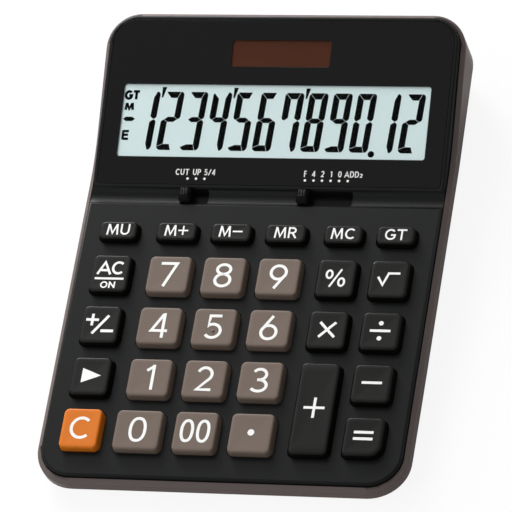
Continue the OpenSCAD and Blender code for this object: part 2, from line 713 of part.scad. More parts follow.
module rear_case() {
    color(TAUPE) difference() {
        union() {
            on_desk() {
                rear_shell();
                for (p = case_screw_places)
                    translate([p.x, p.y, base_z(p.y) + floor_t / 2])
                        cylinder(h = meet_z(p.y) - FIT - base_z(p.y) - floor_t / 2, d = case_post_d,
                                 $fn = 32);
            }
            translate([bay_x, bay_y, foot_h]) bay_body();
        }
        on_desk() for (p = case_screw_places) {
            translate([p.x, p.y, base_z(p.y) - 2])
                cylinder(h = meet_z(p.y) - case_seat_t - base_z(p.y) + 2, d = case_well_d, $fn = 32);
            translate([p.x, p.y, base_z(p.y) - 2])
                cylinder(h = meet_z(p.y) - base_z(p.y) + 3, d = case_screw_d + 2 * FIT, $fn = 32);
        }
        // Battery bay: cover seat, round pocket, contact room, leads and screw hole
        translate([bay_x, bay_y, 0]) {
            translate([0, 0, foot_h - 1])
                plate(cover_w + 2 * cover_gap, cover_l + 2 * cover_gap, 1.2, cover_t + 1);
            translate([0, cell_shift, foot_h])
                cylinder(h = bay_roof - foot_h, d = cell_d + 2 * cell_gap, $fn = 64);
            translate([-2.5, cell_shift - cell_d / 2 - 2, foot_h + cover_t - HAIR])
                cube([5, 4, bay_roof - foot_h - cover_t + HAIR]);
            translate([-2.5, cell_shift - cell_d / 2 - 2, bay_roof - 1]) cube([5, 1, bay_top - bay_roof + 2]);
            translate([-2.5, cell_shift + cell_d / 2 - 2, bay_roof - 1]) cube([5, 1, bay_top - bay_roof + 2]);
            translate([0, cover_screw_y, foot_h])
                cylinder(h = bay_roof - foot_h - 1, d = cover_screw_d + 2 * FIT, $fn = 32);
        }
        for (x = [-foot_x, foot_x], y = [-foot_front_y, foot_rear_y])
            translate([x, y, foot_h - 1]) cylinder(h = foot_recess + 1, d = foot_d + 0.3, $fn = 48);
    }
}

// ---------------------------------------------------------------- display

module display_panel() {
    color("#151617") on_desk() on_panel() translate([0, 0, -panel_t])
        linear_extrude(panel_t) panel_outline(0.15);
}

module lcd_glass() {
    lower_t = lcd_t / 2;
    ledge = 2.4;
    color("#c9dcda") on_desk() on_panel() {
        translate([-lcd_w / 2, lcd_mid - lcd_h / 2, lcd_top - lcd_t]) cube([lcd_w, lcd_h, lower_t]);
        translate([-lcd_w / 2, lcd_mid - lcd_h / 2 + ledge, lcd_top - lower_t])
            cube([lcd_w, lcd_h - ledge, lower_t]);
    }
}

module lcd_holder() {
    inner_w = lcd_w + 2 * holder_gap;
    inner_h = lcd_h + 2 * holder_gap;
    rim_top = lcd_top - 0.1;
    color("#3a3c3e") on_desk() on_panel() difference() {
        union() {
            translate([0, lcd_mid, holder_under]) plate(holder_w, holder_h, 1, rim_top - holder_under);
            for (x = [-ear_x, ear_x], y = ear_rows) translate([x, y, holder_under])
                cylinder(h = holder_t, d = ear_d, $fn = 32);
        }
        translate([0, lcd_mid, holder_under + holder_t])
            plate(inner_w, inner_h, 0.3, rim_top - holder_under);
        translate([0, lcd_mid, holder_under - 1]) plate(inner_w - 16, inner_h - 12, 2, holder_t + 2);
        // Gap in the front rim for the ribbon
        translate([-ribbon_w / 2 - 1, lcd_mid - holder_h / 2 - 1, holder_under - 1])
            cube([ribbon_w + 2, holder_wall + holder_gap + 1, rim_top - holder_under + 2]);
        for (x = [-ear_x, ear_x], y = ear_rows) translate([x, y, holder_under - 1])
            cylinder(h = holder_t + 2, d = peg_d + 2 * FIT, $fn = 32);
    }
}

// Heat-seal ribbon from the ledge of the display cell to the back edge of the board
ribbon_t = 0.2;
module lcd_ribbon() {
    c = cos(panel_tilt);
    s = sin(panel_tilt);
    ledge_at = function (y, z) [panel_y + y * c - z * s, panel_rise + y * s + z * c];
    edge = lcd_mid - lcd_h / 2;
    ledge_z = lcd_top - lcd_t / 2 + 0.02;
    run = [ledge_at(edge + 1.9, ledge_z), ledge_at(edge - 0.35, ledge_z),
           [board_rear_y + 0.9, board_top + 0.9], [board_rear_y - 0.4, board_top + 0.02],
           [board_rear_y - 2.6, board_top + 0.02]];
    back = [for (i = [len(run) - 1:-1:0]) run[i] + [0, ribbon_t]];
    color("#c98f3c") on_desk() translate([-ribbon_w / 2, 0, 0]) rotate([90, 0, 90])
        linear_extrude(ribbon_w) polygon(concat(run, back));
}

module solar_cell() {
    color("#4a2a20") on_desk() on_panel() translate([0, solar_mid, solar_cell_under])
        plate(solar_w + 2 * solar_cell_over, solar_h + 2 * solar_cell_over, 0.4, solar_cell_t);
}

module solar_wires() {
    wire_d = 1;
    low_z = board_bottom - 3.4;
    c = cos(panel_tilt);
    s = sin(panel_tilt);
    start = [panel_y + solar_mid * c - solar_cell_under * s,
             panel_rise + solar_mid * s + solar_cell_under * c];
    drop = (start.y - low_z) / c;
    turn_y = start.x + drop * s;
    land_y = board_rear_y - 3.5;
    colors = ["#b03028", "#1c1c1e"];
    for (i = [0, 1]) color(colors[i]) on_desk() translate([12 - 24 * i, 0, 0])
        wire([[0, start.x, start.y], [0, turn_y, low_z], [0, land_y, low_z], [0, land_y, board_bottom]], wire_d);
}

// ---------------------------------------------------------------- keypad and board

module rubber_keypad() {
    half_w = board_half_w - 1;
    sheet_rear = row_y(0) + memory_d / 2 + 3;
    sheet_front = front_row_y - low_d / 2 - 0.2;
    color(RUBBER) on_desk() difference() {
        union() {
            translate([0, (sheet_rear + sheet_front) / 2, board_top])
                plate(2 * half_w, sheet_rear - sheet_front, 2, rubber_t);
            for (k = KEYS, y = k[3] == TALL ? [-row_pitch / 2, row_pitch / 2] : [0]) {
                place = key_place(k);
                translate([place.x, place.y + y, rubber_top - HAIR])
                    cylinder(h = dome_top - rubber_top + HAIR, d1 = dome_d(k[3]) + 2.2, d2 = dome_d(k[3]),
                             $fn = 32);
            }
        }
        for (k = KEYS, y = k[3] == TALL ? [-row_pitch / 2, row_pitch / 2] : [0]) {
            place = key_place(k);
            translate([place.x, place.y + y, board_top - 1])
                cylinder(h = 1 + rubber_t * 0.8, d = dome_d(k[3]) + 0.6, $fn = 32);
        }
        for (p = board_screw_places) translate([p.x, p.y, board_top - 1])
            cylinder(h = 4, d = board_boss_d + 0.6, $fn = 32);
    }
}
function dome_d(form) = form == MEMORY || form == MEMORY_MID ? 3 : 4.2;

module main_board() {
    color(BOARD_GREEN) on_desk() difference() {
        union() {
            translate([-board_half_w, board_front_y, board_bottom])
                cube([2 * board_half_w, board_shoulder_y - board_front_y, board_t]);
            translate([-tongue_half_w, board_shoulder_y - 1, board_bottom])
                cube([2 * tongue_half_w, board_rear_y - board_shoulder_y + 1, board_t]);
        }
        for (p = board_screw_places) translate([p.x, p.y, board_bottom - 1])
            cylinder(h = board_t + 2, d = board_screw_d + 0.4, $fn = 32);
    }
}

module chip_cover() {
    r = 6;
    rise = 1.2;
    rings = 5;
    arc = [for (i = [0:rings]) let (a = 90 * i / rings) [r * cos(a), rise * sin(a)]];
    color("#141414") on_desk() translate([column_x[2] - 3.1, row_y(1) + 1.8, board_bottom])
        rotate([180, 0, 0]) rotate_extrude($fn = 64) polygon(concat([[0, 0]], arc));
}

module capacitor() {
    can_d = 4;
    color("#23395d") on_desk() translate([tongue_half_w - 21, board_rear_y - 9.5, board_bottom])
        rotate([180, 0, 0]) {
            cylinder(h = 1, d = can_d + 0.6, $fn = 48);
            cylinder(h = 4.2, d = can_d, $fn = 48);
        }
}

// ---------------------------------------------------------------- fasteners and feet

// Pan head screw that points along +Z, with its seat at z = 0 and a cross recess in the head
module pan_screw(head_d, head_t, shank_d, shank_l) {
    slot = head_d * 0.18;
    difference() {
        union() {
            translate([0, 0, -head_t * 0.6]) cylinder(h = head_t * 0.6, d = head_d, $fn = 48);
            translate([0, 0, -head_t]) cylinder(h = head_t * 0.4, d1 = head_d * 0.7, d2 = head_d, $fn = 48);
            cylinder(h = shank_l - shank_d / 2, d = shank_d, $fn = 32);
            translate([0, 0, shank_l - shank_d / 2])
                cylinder(h = shank_d / 2, d1 = shank_d, d2 = shank_d * 0.5, $fn = 32);
        }
        for (turn = [0, 90]) rotate([0, 0, turn]) translate([-head_d * 0.28, -slot / 2, -head_t - 1])
            cube([head_d * 0.56, slot, 1 + head_t * 0.45]);
    }
}

module board_screws() {
    color(STEEL) on_desk() for (p = board_screw_places) translate([p.x, p.y, board_bottom - HAIR])
        pan_screw(board_screw_head_d, board_screw_head_t, board_screw_d, board_t + 2.2);
}

module case_screws() {
    color(STEEL) on_desk() for (p = case_screw_places) translate([p.x, p.y, meet_z(p.y) - case_seat_t - HAIR])
        pan_screw(case_head_d, case_head_t, case_screw_d, case_shank_l);
}

module rubber_feet() {
    color("#2b2b2c") for (x = [-foot_x, foot_x], y = [-foot_front_y, foot_rear_y]) translate([x, y, 0])
        rotate_extrude($fn = 64) polygon([[0, 0], [foot_d / 2 - 0.5, 0], [foot_d / 2, 0.5],
            [foot_d / 2, foot_h + foot_recess - FIT], [0, foot_h + foot_recess - FIT]]);
}

// ---------------------------------------------------------------- battery

module battery_cell() {
    can = 1.2;
    color(STEEL) translate([bay_x, bay_y + cell_shift, cell_z]) rotate_extrude($fn = 64)
        polygon([[0, 0], [cell_d / 2 - 0.4, 0], [cell_d / 2, 0.4], [cell_d / 2, cell_t - 0.9],
                 [cell_d / 2 - can, cell_t - 0.5], [cell_d / 2 - can, cell_t], [0, cell_t]]);
}

// Leaf spring over the cell, bent up through the roof of the bay
module battery_contact_negative() {
    leaf_w = 4.4;
    tab = 1.6;
    color("#cfc7a8") translate([bay_x - leaf_w / 2, bay_y + cell_shift, 0]) {
        translate([0, -3, cell_z + cell_t + 0.05]) cube([leaf_w, cell_d / 2 + 1.4, contact_t]);
        translate([0, cell_d / 2 - 1.6 - contact_t, cell_z + cell_t + 0.05])
            cube([leaf_w, contact_t, bay_top + tab - cell_z - cell_t - 0.05]);
    }
}

// Leaf spring against the can, bent up through the roof of the bay
module battery_contact_positive() {
    leaf_w = 4.4;
    tab = 1.6;
    leaf_y = -cell_d / 2 - 0.1 - contact_t;
    color("#cfc7a8") translate([bay_x - leaf_w / 2, bay_y + cell_shift, 0]) {
        translate([0, leaf_y, cell_z + 0.6]) cube([leaf_w, contact_t, bay_roof - 0.2 - cell_z - 0.6]);
        translate([0, leaf_y - 1.2, bay_roof - 0.2 - contact_t]) cube([leaf_w, 1.2 + contact_t, contact_t]);
        translate([0, leaf_y - 1.2, bay_roof - 0.2 - contact_t])
            cube([leaf_w, contact_t, bay_top + tab - bay_roof + 0.2 + contact_t]);
    }
}

// From the contact tabs forward, down past the board's back edge and up to its underside
module battery_wires() {
    wire_d = 1;
    tab_z = bay_top + 0.9;
    edge_y = board_desk_y(board_rear_y) + 1.6;
    land = board_rear_y - 5;
    land_y = board_desk_y(land);
    low_z = board_desk_z(land) - 1.6;
    ends = [[bay_x, bay_y + cell_shift + cell_d / 2 - 1.6 - contact_t - wire_d / 2],
            [bay_x, bay_y + cell_shift - cell_d / 2 - 1.3 - contact_t * 2 - wire_d / 2]];
    lands_x = [bay_x + 6, bay_x];
    colors = ["#1c1c1e", "#b03028"];
    for (i = [0, 1]) color(colors[i])
        wire([[ends[i].x, ends[i].y, tab_z], [lands_x[i], edge_y, tab_z - 0.4],
              [lands_x[i], edge_y - 0.6, low_z], [lands_x[i], land_y, low_z],
              [lands_x[i], land_y, board_desk_z(land) - HAIR]], wire_d);
}

module battery_cover() {
    color(TAUPE) translate([bay_x, bay_y, foot_h]) difference() {
        plate(cover_w, cover_l, 1, cover_t);
        translate([0, cover_screw_y, -1]) cylinder(h = cover_t + 2, d = cover_screw_d + 0.3, $fn = 32);
        translate([0, cover_screw_y, -1]) cylinder(h = 1.8, d = 4.4, $fn = 32);
        // Finger grooves
        for (y = [-11:1.6:-6.2]) translate([-5, y, -1]) cube([10, 0.8, 1.4]);
    }
}

module battery_cover_screw() {
    color(STEEL) translate([bay_x, bay_y + cover_screw_y, foot_h + 0.8 - HAIR])
        pan_screw(3.6, 0.7, cover_screw_d, 5);
}

// ---------------------------------------------------------------- switches

// Knob: a head with sloped sides on a stem through the slot, carried by the slider plate
module switch_knob(x, travel) {
    half_plate = travel + stem_w / 2 + plate_margin;
    top_y = (knob_d - knob_top) / 2 - 0.15;
    on_desk() translate([x, slot_mid_y, 0]) {
        translate([0, 0, plate_top - HAIR]) plate(stem_w, knob_d, 0.5, head_z + 0.2 - plate_top);
        hull() {
            translate([0, 0, head_z]) linear_extrude(0.5)
                polygon(rounded(knob_w, knob_d, [1.3, 1.3, 0.5, 0.5]));
            translate([0, top_y, knob_h - HAIR]) linear_extrude(HAIR)
                polygon(rounded(knob_top, knob_top, even(0.5)));
        }
        // Finger ribs: a loop that is open at the back, and a straight one beside it
        translate([0, top_y - rib_l / 2, knob_h - HAIR]) {
            for (rib_x = [-1.1, -0.1, 0.8]) translate([rib_x - rib_t / 2, 0, 0])
                cube([rib_t, rib_l, rib_h + HAIR]);
            translate([-1.1, 0, 0]) cube([1, rib_t, rib_h + HAIR]);
        }
        translate([-half_plate, -plate_d / 2, plate_bottom]) cube([2 * half_plate, plate_d, plate_t]);
    }
}

// Bent contact leaf that slides over the board's tracks
module switch_brush(x) {
    drop = plate_bottom - board_top - FIT;
    leaf = [[-3, 0], [3, 0], [5, -drop + brush_t], [5.8, -drop + brush_t], [5.8, -drop], [4.9, -drop],
            [2.9, -brush_t], [-2.9, -brush_t], [-4.9, -drop], [-5.8, -drop], [-5.8, -drop + brush_t],
            [-5, -drop + brush_t]];
    on_desk() for (y = [-1.3, 1.3])
        translate([x, slot_mid_y + y + 0.7, plate_bottom]) rotate([90, 0, 0])
            linear_extrude(1.4) polygon(leaf);
}

module round_switch_knob() { color("#1d1e1f") switch_knob(round_x, round_travel); }
module round_switch_brush() { color("#c9a24a") switch_brush(round_x); }
module decimal_switch_knob() { color("#1d1e1f") switch_knob(decimal_x, decimal_travel); }
module decimal_switch_brush() { color("#c9a24a") switch_brush(decimal_x); }

// ---------------------------------------------------------------- nodes

front_case();
rear_case();
display_panel();
lcd_glass();
lcd_holder();
lcd_ribbon();
solar_cell();
solar_wires();
rubber_keypad();
main_board();
chip_cover();
capacitor();
board_screws();
case_screws();
rubber_feet();
battery_cell();
battery_contact_positive();
battery_contact_negative();
battery_wires();
battery_cover();
battery_cover_screw();
round_switch_knob();
round_switch_brush();
decimal_switch_knob();
decimal_switch_brush();
key_mu();
key_m_plus();
key_m_minus();
key_mr();
key_mc();
key_gt();
key_ac();
key_7();
key_8();
key_9();
key_percent();
key_root();
key_sign();
key_4();
key_5();
key_6();
key_multiply();
key_divide();
key_right_shift();
key_1();
key_2();
key_3();
key_plus();
key_minus();
key_c();
key_0();
key_00();
key_point();
key_equals();
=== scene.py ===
"""The looks of a twelve-digit desk calculator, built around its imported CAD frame."""
import json
import math

import bmesh
import bpy
from mathutils import Matrix, Vector

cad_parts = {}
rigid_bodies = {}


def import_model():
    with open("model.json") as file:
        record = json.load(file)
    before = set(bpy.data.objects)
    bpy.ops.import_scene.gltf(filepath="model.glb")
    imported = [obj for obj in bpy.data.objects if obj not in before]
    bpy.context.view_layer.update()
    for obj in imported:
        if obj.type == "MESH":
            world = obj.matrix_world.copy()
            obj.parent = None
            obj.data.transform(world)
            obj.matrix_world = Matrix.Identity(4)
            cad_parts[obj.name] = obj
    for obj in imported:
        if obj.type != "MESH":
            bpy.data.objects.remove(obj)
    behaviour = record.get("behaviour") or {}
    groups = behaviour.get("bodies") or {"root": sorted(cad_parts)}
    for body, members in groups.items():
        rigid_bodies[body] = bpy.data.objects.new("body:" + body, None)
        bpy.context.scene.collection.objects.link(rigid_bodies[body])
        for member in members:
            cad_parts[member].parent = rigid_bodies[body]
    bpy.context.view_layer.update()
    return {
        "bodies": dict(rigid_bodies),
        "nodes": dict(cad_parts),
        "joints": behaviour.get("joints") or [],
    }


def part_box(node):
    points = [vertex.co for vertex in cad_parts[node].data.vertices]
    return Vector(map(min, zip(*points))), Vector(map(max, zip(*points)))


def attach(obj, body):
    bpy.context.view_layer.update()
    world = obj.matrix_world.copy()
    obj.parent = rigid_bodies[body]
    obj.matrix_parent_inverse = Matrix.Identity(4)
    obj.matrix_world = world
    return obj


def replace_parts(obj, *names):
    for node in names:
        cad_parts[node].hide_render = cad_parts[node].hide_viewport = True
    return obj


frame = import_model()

# ---------------------------- desk, light and camera
# The calculator stands on a plain white desk. Two soft lamps light it from the back left and
# one from the front left, and a pale room fills the rest, as on a studio table.

MM = 0.001
scene_objects = bpy.context.scene.collection.objects


def pick(sockets, name):
    """A socket by its number, identifier or name."""
    if isinstance(name, int):
        return sockets[name]
    for socket in sockets:
        if socket.identifier == name:
            return socket
    return sockets[name]


class Flow:
    """An output in a node tree. Arithmetic adds Math nodes, and make() adds any other node."""

    def __init__(self, tree, socket=None):
        self.tree, self.socket = tree, socket

    def plug(self, target, value):
        """Links a flow to an input, or sets the input to a value."""
        if isinstance(value, Flow):
            self.tree.links.new(value.socket, target)
        else:
            target.default_value = value

    def make(self, kind, settings=None, inputs=None, output=0):
        """A new node with its settings and its inputs, given as values or as other flows."""
        node = self.tree.nodes.new(kind)
        for name, value in (settings or {}).items():
            setattr(node, name, value)
        for name, value in (inputs or {}).items():
            self.plug(pick(node.inputs, name), value)
        return Flow(self.tree, pick(node.outputs, output))

    def math(self, operation, *values):
        """A Math node on numbers or flows."""
        return self.make("ShaderNodeMath", {"operation": operation}, dict(enumerate(values)))

    def axis(self, number):
        """One coordinate of a vector: 0 is x, 1 is y and 2 is z."""
        return self.make("ShaderNodeSeparateXYZ", None, {0: self}, number)

    def __add__(self, other):
        return self.math("ADD", self, other)

    def __radd__(self, other):
        return self.math("ADD", other, self)

    def __sub__(self, other):
        return self.math("SUBTRACT", self, other)

    def __rsub__(self, other):
        return self.math("SUBTRACT", other, self)

    def __mul__(self, other):
        return self.math("MULTIPLY", self, other)

    def __rmul__(self, other):
        return self.math("MULTIPLY", other, self)

    def __truediv__(self, other):
        return self.math("DIVIDE", self, other)


def rgb(code):
    """Linear colour from the hexadecimal code of a paint chart."""
    parts = [int(code[i:i + 2], 16) / 255 for i in (1, 3, 5)]
    return tuple(p / 12.92 if p <= 0.04045 else ((p + 0.055) / 1.055) ** 2.4
                 for p in parts) + (1,)


# The desk is pale to light, and nearly plain white to the camera
WHITE = (1, 1, 1, 1)
DESK_PALE = (0.9, 0.9, 0.9, 1)
DESK_ROUGHNESS = 0.6
DESK_GLOW = 0.9
DESK_REACH = 4.0
desk = bpy.data.materials.new("desk_white")
desk.use_nodes = True
desk_tree = Flow(desk.node_tree)
desk_shader = desk.node_tree.nodes["Principled BSDF"]
desk_shader.inputs["Base Color"].default_value = DESK_PALE
desk_shader.inputs["Roughness"].default_value = DESK_ROUGHNESS
desk_lit = Flow(desk.node_tree, desk_shader.outputs[0])
desk_white = desk_tree.make("ShaderNodeEmission", None, {"Color": WHITE, "Strength": 1.0})
desk_seen = desk_tree.make("ShaderNodeLightPath", output="Is Camera Ray")
desk_tree.plug(desk.node_tree.nodes["Material Output"].inputs["Surface"],
               desk_tree.make("ShaderNodeMixShader", None,
                              {0: desk_seen * DESK_GLOW, 1: desk_lit, 2: desk_white}))

desk_mesh = bpy.data.meshes.new("desk_top")
desk_mesh.from_pydata([(-DESK_REACH, -DESK_REACH, 0), (DESK_REACH, -DESK_REACH, 0),
                       (DESK_REACH, DESK_REACH, 0), (-DESK_REACH, DESK_REACH, 0)],
                      [], [(0, 1, 2, 3)])
desk_top = bpy.data.objects.new("desk_top", desk_mesh)
desk_mesh.materials.append(desk)
scene_objects.link(desk_top)

ROOM_STRENGTH = 0.3
world = bpy.data.worlds.new("pale_room")
bpy.context.scene.world = world
world.use_nodes = True
room = Flow(world.node_tree)
background = world.node_tree.nodes["Background"]
seen, mirrored, looked_through = (room.make("ShaderNodeLightPath", output="Is %s Ray" % kind)
                                  for kind in ("Camera", "Glossy", "Transmission"))
shown = room.math("MAXIMUM", seen, room.math("MAXIMUM", mirrored, looked_through))
room.plug(background.inputs["Strength"], shown * (1 - ROOM_STRENGTH) + ROOM_STRENGTH)
background.inputs["Color"].default_value = WHITE


def looking(azimuth, elevation, distance, roll=0):
    """Where a thing that looks at the origin stands. Azimuth 0 is in front, 90 to the right."""
    return (Matrix.Rotation(math.radians(azimuth), 4, "Z")
            @ Matrix.Rotation(math.radians(90 - elevation), 4, "X")
            @ Matrix.Rotation(math.radians(roll), 4, "Z")
            @ Matrix.Translation((0, 0, distance)))


def soft_light(name, azimuth, elevation, distance, size, power):
    """Square lamp that looks at the calculator."""
    lamp = bpy.data.lights.new(name, "AREA")
    lamp.shape, lamp.size, lamp.energy = "SQUARE", size, power
    holder = bpy.data.objects.new(name, lamp)
    holder.matrix_world = looking(azimuth, elevation, distance)
    scene_objects.link(holder)


soft_light("back_left_light", azimuth=-140, elevation=46, distance=1.2, size=0.7, power=6)
soft_light("back_rim_light", azimuth=-150, elevation=20, distance=1.2, size=0.5, power=16)
soft_light("front_left_fill", azimuth=-50, elevation=40, distance=1.4, size=0.8, power=6)

VIEW_TARGET = Vector((0.5, -1.25, 15.5)) * MM
VIEW_AZIMUTH, VIEW_ELEVATION, VIEW_ROLL = 28.84, 54.05, -22.86
VIEW_DISTANCE = 1.714
VIEW_LENS, VIEW_SENSOR = 355.6, 36
camera = bpy.data.cameras.new("view")
camera.lens, camera.sensor_width = VIEW_LENS, VIEW_SENSOR
camera_holder = bpy.data.objects.new("view", camera)
camera_holder.matrix_world = (
    Matrix.Translation(VIEW_TARGET)
    @ looking(VIEW_AZIMUTH, VIEW_ELEVATION, VIEW_DISTANCE, VIEW_ROLL))
scene_objects.link(camera_holder)
bpy.context.scene.camera = camera_holder
bpy.context.scene.view_settings.view_transform = "Standard"

# ---------------------------- front case
# The upper moulding is matt black ABS: key deck, cove with two switch slots, and the frame
# of the display block. Its mould was spark-eroded, which leaves the fine even grain.

press = next(joint for joint in frame["joints"] if joint["name"] == "key_4_press")
DECK_TILT = math.atan2(press["axis"][1], -press["axis"][2])
PANEL_TILT = math.radians(11.3)
PANEL_RISE = 0.5
PANEL_PLAY = 0.15
KEY_HEIGHT = 2.8
BIG_FLAT = 100
JOIN_WITHIN = 0.002
SPECULAR = "Specular IOR Level"


def box_in(turn, points):
    """Lowest and highest corner of points, given in metres, in a frame of millimetres."""
    turned = [turn.inverted() @ p for p in points]
    return [Vector(f(p[i] for p in turned) for i in range(3)) for f in (min, max)]


def cad_points(node):
    """The points of a CAD node at rest, in metres."""
    return [v.co for v in frame["nodes"][node].data.vertices]


# Key deck: z = 0 is its face, and y points to the display
deck = Matrix.Rotation(DECK_TILT, 4, "X") @ Matrix.Scale(MM, 4)
case_low, case_high = box_in(deck, cad_points("rear_case"))
key_top = box_in(deck, cad_points("key_4"))[1].z
deck = deck @ Matrix.Translation((0, (case_low.y + case_high.y) / 2, key_top - KEY_HEIGHT))
# Display panel: the origin is the middle of its lower edge, and z = 0 is its face
panel_low = box_in(deck, cad_points("display_panel"))[0]
panel_foot = panel_low.y - PANEL_PLAY * math.cos(PANEL_TILT)
panel = (deck @ Matrix.Translation((0, panel_foot, PANEL_RISE))
         @ Matrix.Rotation(PANEL_TILT, 4, "X"))


def noise(place, size, detail=2.0):
    """Cloud pattern from 0 to 1 whose patches are about size millimetres across."""
    return place.make("ShaderNodeTexNoise", None,
                      {"Vector": place, "Scale": 1 / size, "Detail": detail, "Roughness": 0.55})


def mix(share, low, high):
    """Colour between low, where the share is 0, and high, where it is 1."""
    return share.make("ShaderNodeMix", {"data_type": "RGBA"},
                      {"Factor_Float": share, "A_Color": low, "B_Color": high}, "Result_Color")


def material(name, look, **constants):
    """Principled material. look(place) gives its linked inputs from a place in millimetres."""
    made = bpy.data.materials.new(name)
    made.use_nodes = True
    tree = made.node_tree
    shader = tree.nodes["Principled BSDF"]
    start = Flow(tree)
    metres = start.make("ShaderNodeTexCoord", output="Object")
    place = start.make("ShaderNodeVectorMath", {"operation": "SCALE"},
                       {0: metres, "Scale": 1 / MM})
    linked = look(place)
    if "Height" in linked:
        linked["Normal"] = start.make("ShaderNodeBump", None, {
            "Height": linked.pop("Height"), "Strength": 1.0, "Distance": linked.pop("Depth") * MM})
    for socket, value in {**constants, **linked}.items():
        start.plug(shader.inputs[socket], value)
    return made


def moulded(name, colour, roughness, grain=0.35, depth=0.012, cloud=9, spread=0.06, **constants):
    """Injection-moulded plastic: eroded grain, faint flow clouds and uneven gloss."""
    def look(place):
        clouds = noise(place, cloud, 3)
        eroded = noise(place, grain, 1.5)
        dark, light = ([part * share for part in rgb(colour)[:3]] + [1]
                       for share in (1 - spread, 1 + spread))
        return {"Base Color": mix(clouds * 0.6 + eroded * 0.4, dark, light),
                "Roughness": roughness + (clouds - 0.5) * 0.08 + (eroded - 0.5) * 0.1,
                "Height": eroded, "Depth": depth}
    return material(name, look, **constants)


def add_piece(name, mesh, body, finish, slot=None):
    """Links a mesh as a piece of the object that rides on a body."""
    piece = bpy.data.objects.new(name, mesh)
    scene_objects.link(piece)
    mesh.materials.clear()
    mesh.materials.append(finish)
    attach(piece, body)
    return piece


def reworked(mesh, change):
    """The mesh after a change that is made to it as a bmesh."""
    work = bmesh.new()
    work.from_mesh(mesh)
    change(work)
    work.to_mesh(mesh)
    work.free()
    return mesh


def merged(node):
    """A copy of a CAD node's mesh with its loose triangles joined."""
    return reworked(frame["nodes"][node].data.copy(), lambda work: bmesh.ops.remove_doubles(
        work, verts=work.verts, dist=JOIN_WITHIN * MM))


def smooth_copy(node, name, body, finish, slot, angle=32):
    """A CAD node's mesh, merged and shaded smooth where it turns less than the angle.
    Flat faces larger than BIG_FLAT, in square millimetres, stay flat."""
    mesh = merged(node)
    mesh.shade_smooth()
    mesh.set_sharp_from_angle(angle=math.radians(angle))
    planes = {}
    for face in mesh.polygons:
        place = tuple(round(v, 2) for v in (*face.normal, face.normal.dot(face.center) / MM))
        planes.setdefault(place, []).append(face)
    for faces in planes.values():
        if sum(face.area for face in faces) > BIG_FLAT * MM ** 2:
            for face in faces:
                face.use_smooth = False
    piece = add_piece(name, mesh, body, finish, slot)
    weigh = piece.modifiers.new("weigh", "WEIGHTED_NORMAL")
    weigh.keep_sharp = True
    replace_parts(piece, node)
    return piece


def dress(node, finish):
    """Gives a CAD node that shows as it is its finish."""
    for slot in frame["nodes"][node].material_slots:
        slot.material = finish


case_black = moulded("case_black", "#101111", 0.42, **{SPECULAR: 0.08})
smooth_copy("front_case", "front_shell", "housing", case_black, "black_case")

# ---------------------------- key caps
# Each of the 29 keys is its own ABS cap: sloped flanks, soft upper edges and a faintly dished
# top, with a flange underneath that keeps it in its opening. One rule makes them all.

KEY_FLARE_X, KEY_FLARE_Y, FRONT_KEY_FLARE_Y = 0.65, 0.2, 0.1
KEY_CORNER = 1.7
EQUALS_CORNER = 4.0
KEY_EDGE = 0.6
KEY_SWELL = 0.12
KEY_DISH = 0.12
KEY_WALL, KEY_INSIDE = 1.1, 0.4
SMALL_KEY_WALL, SMALL_KEY_DEPTH = 0.4, 8
KEY_FLANGE_OVER = 0.8
KEY_FLANGE_TOP = -2.05
KEY_FLANGE_THICK = 0.8
CORNER_STEPS = 8
EDGE_STEPS = 6
DISH_RINGS = (0.85, 0.65, 0.4, 0.0)
FINGER_DOT_PLACE = Vector((-0.14, -1.5, KEY_HEIGHT - KEY_DISH))
FINGER_DOT_SIZE = (0.6, 0.6, 0.38)


def new_tree(name, sizes):
    """A geometry node tree with an input for each size, as a flow and the flows of its inputs."""
    tree = bpy.data.node_groups.new(name, "GeometryNodeTree")
    tree.interface.new_socket("Geometry", in_out="OUTPUT", socket_type="NodeSocketGeometry")
    tree.interface.new_socket("Places", in_out="INPUT", socket_type="NodeSocketGeometry")
    for size_name, value in sizes.items():
        entry = tree.interface.new_socket(size_name, in_out="INPUT", socket_type="NodeSocketFloat")
        entry.default_value = value
    tree.interface.new_socket("Finish", in_out="INPUT", socket_type="NodeSocketMaterial")
    entries = tree.nodes.new("NodeGroupInput").outputs
    return Flow(tree), {entry.name: Flow(tree, entry) for entry in entries if entry.name}


def ring_grid(start, rings, around):
    """A grid with one row for each ring, and the ring and the step along it of each vertex."""
    grid = start.make("GeometryNodeMeshGrid", None,
                      {"Vertices X": len(rings), "Vertices Y": around + 1})
    index = start.make("GeometryNodeInputIndex")
    ring = start.math("FLOOR", index / (around + 1))
    return grid, ring, index - ring * (around + 1)


def wrapped(start, grid, x, y, z):
    """The grid bent into a closed shell."""
    place = start.make("ShaderNodeCombineXYZ", None, {"X": x, "Y": y, "Z": z})
    bent = start.make("GeometryNodeSetPosition", None, {"Geometry": grid, "Position": place})
    return start.make("GeometryNodeMergeByDistance", None, {"Geometry": bent, "Distance": 0.001})


def end_tree(start, part, finish):
    """Ends a tree with a plain mesh in its finish."""
    single = start.make("GeometryNodeRealizeInstances", None, {"Geometry": part})
    painted = start.make("GeometryNodeSetMaterial", None, {"Geometry": single, "Material": finish})
    start.plug(start.tree.nodes.new("NodeGroupOutput").inputs["Geometry"], painted)
    return start.tree


def choose(index, values):
    """The value that stands at an index, as an Index Switch."""
    node = index.tree.nodes.new("GeometryNodeIndexSwitch")
    node.data_type = "FLOAT"
    while len(node.index_switch_items) < len(values):
        node.index_switch_items.new()
    index.plug(node.inputs["Index"], index)
    for entry, value in zip(node.inputs[1:], values):
        index.plug(entry, value)
    return Flow(index.tree, node.outputs[0])


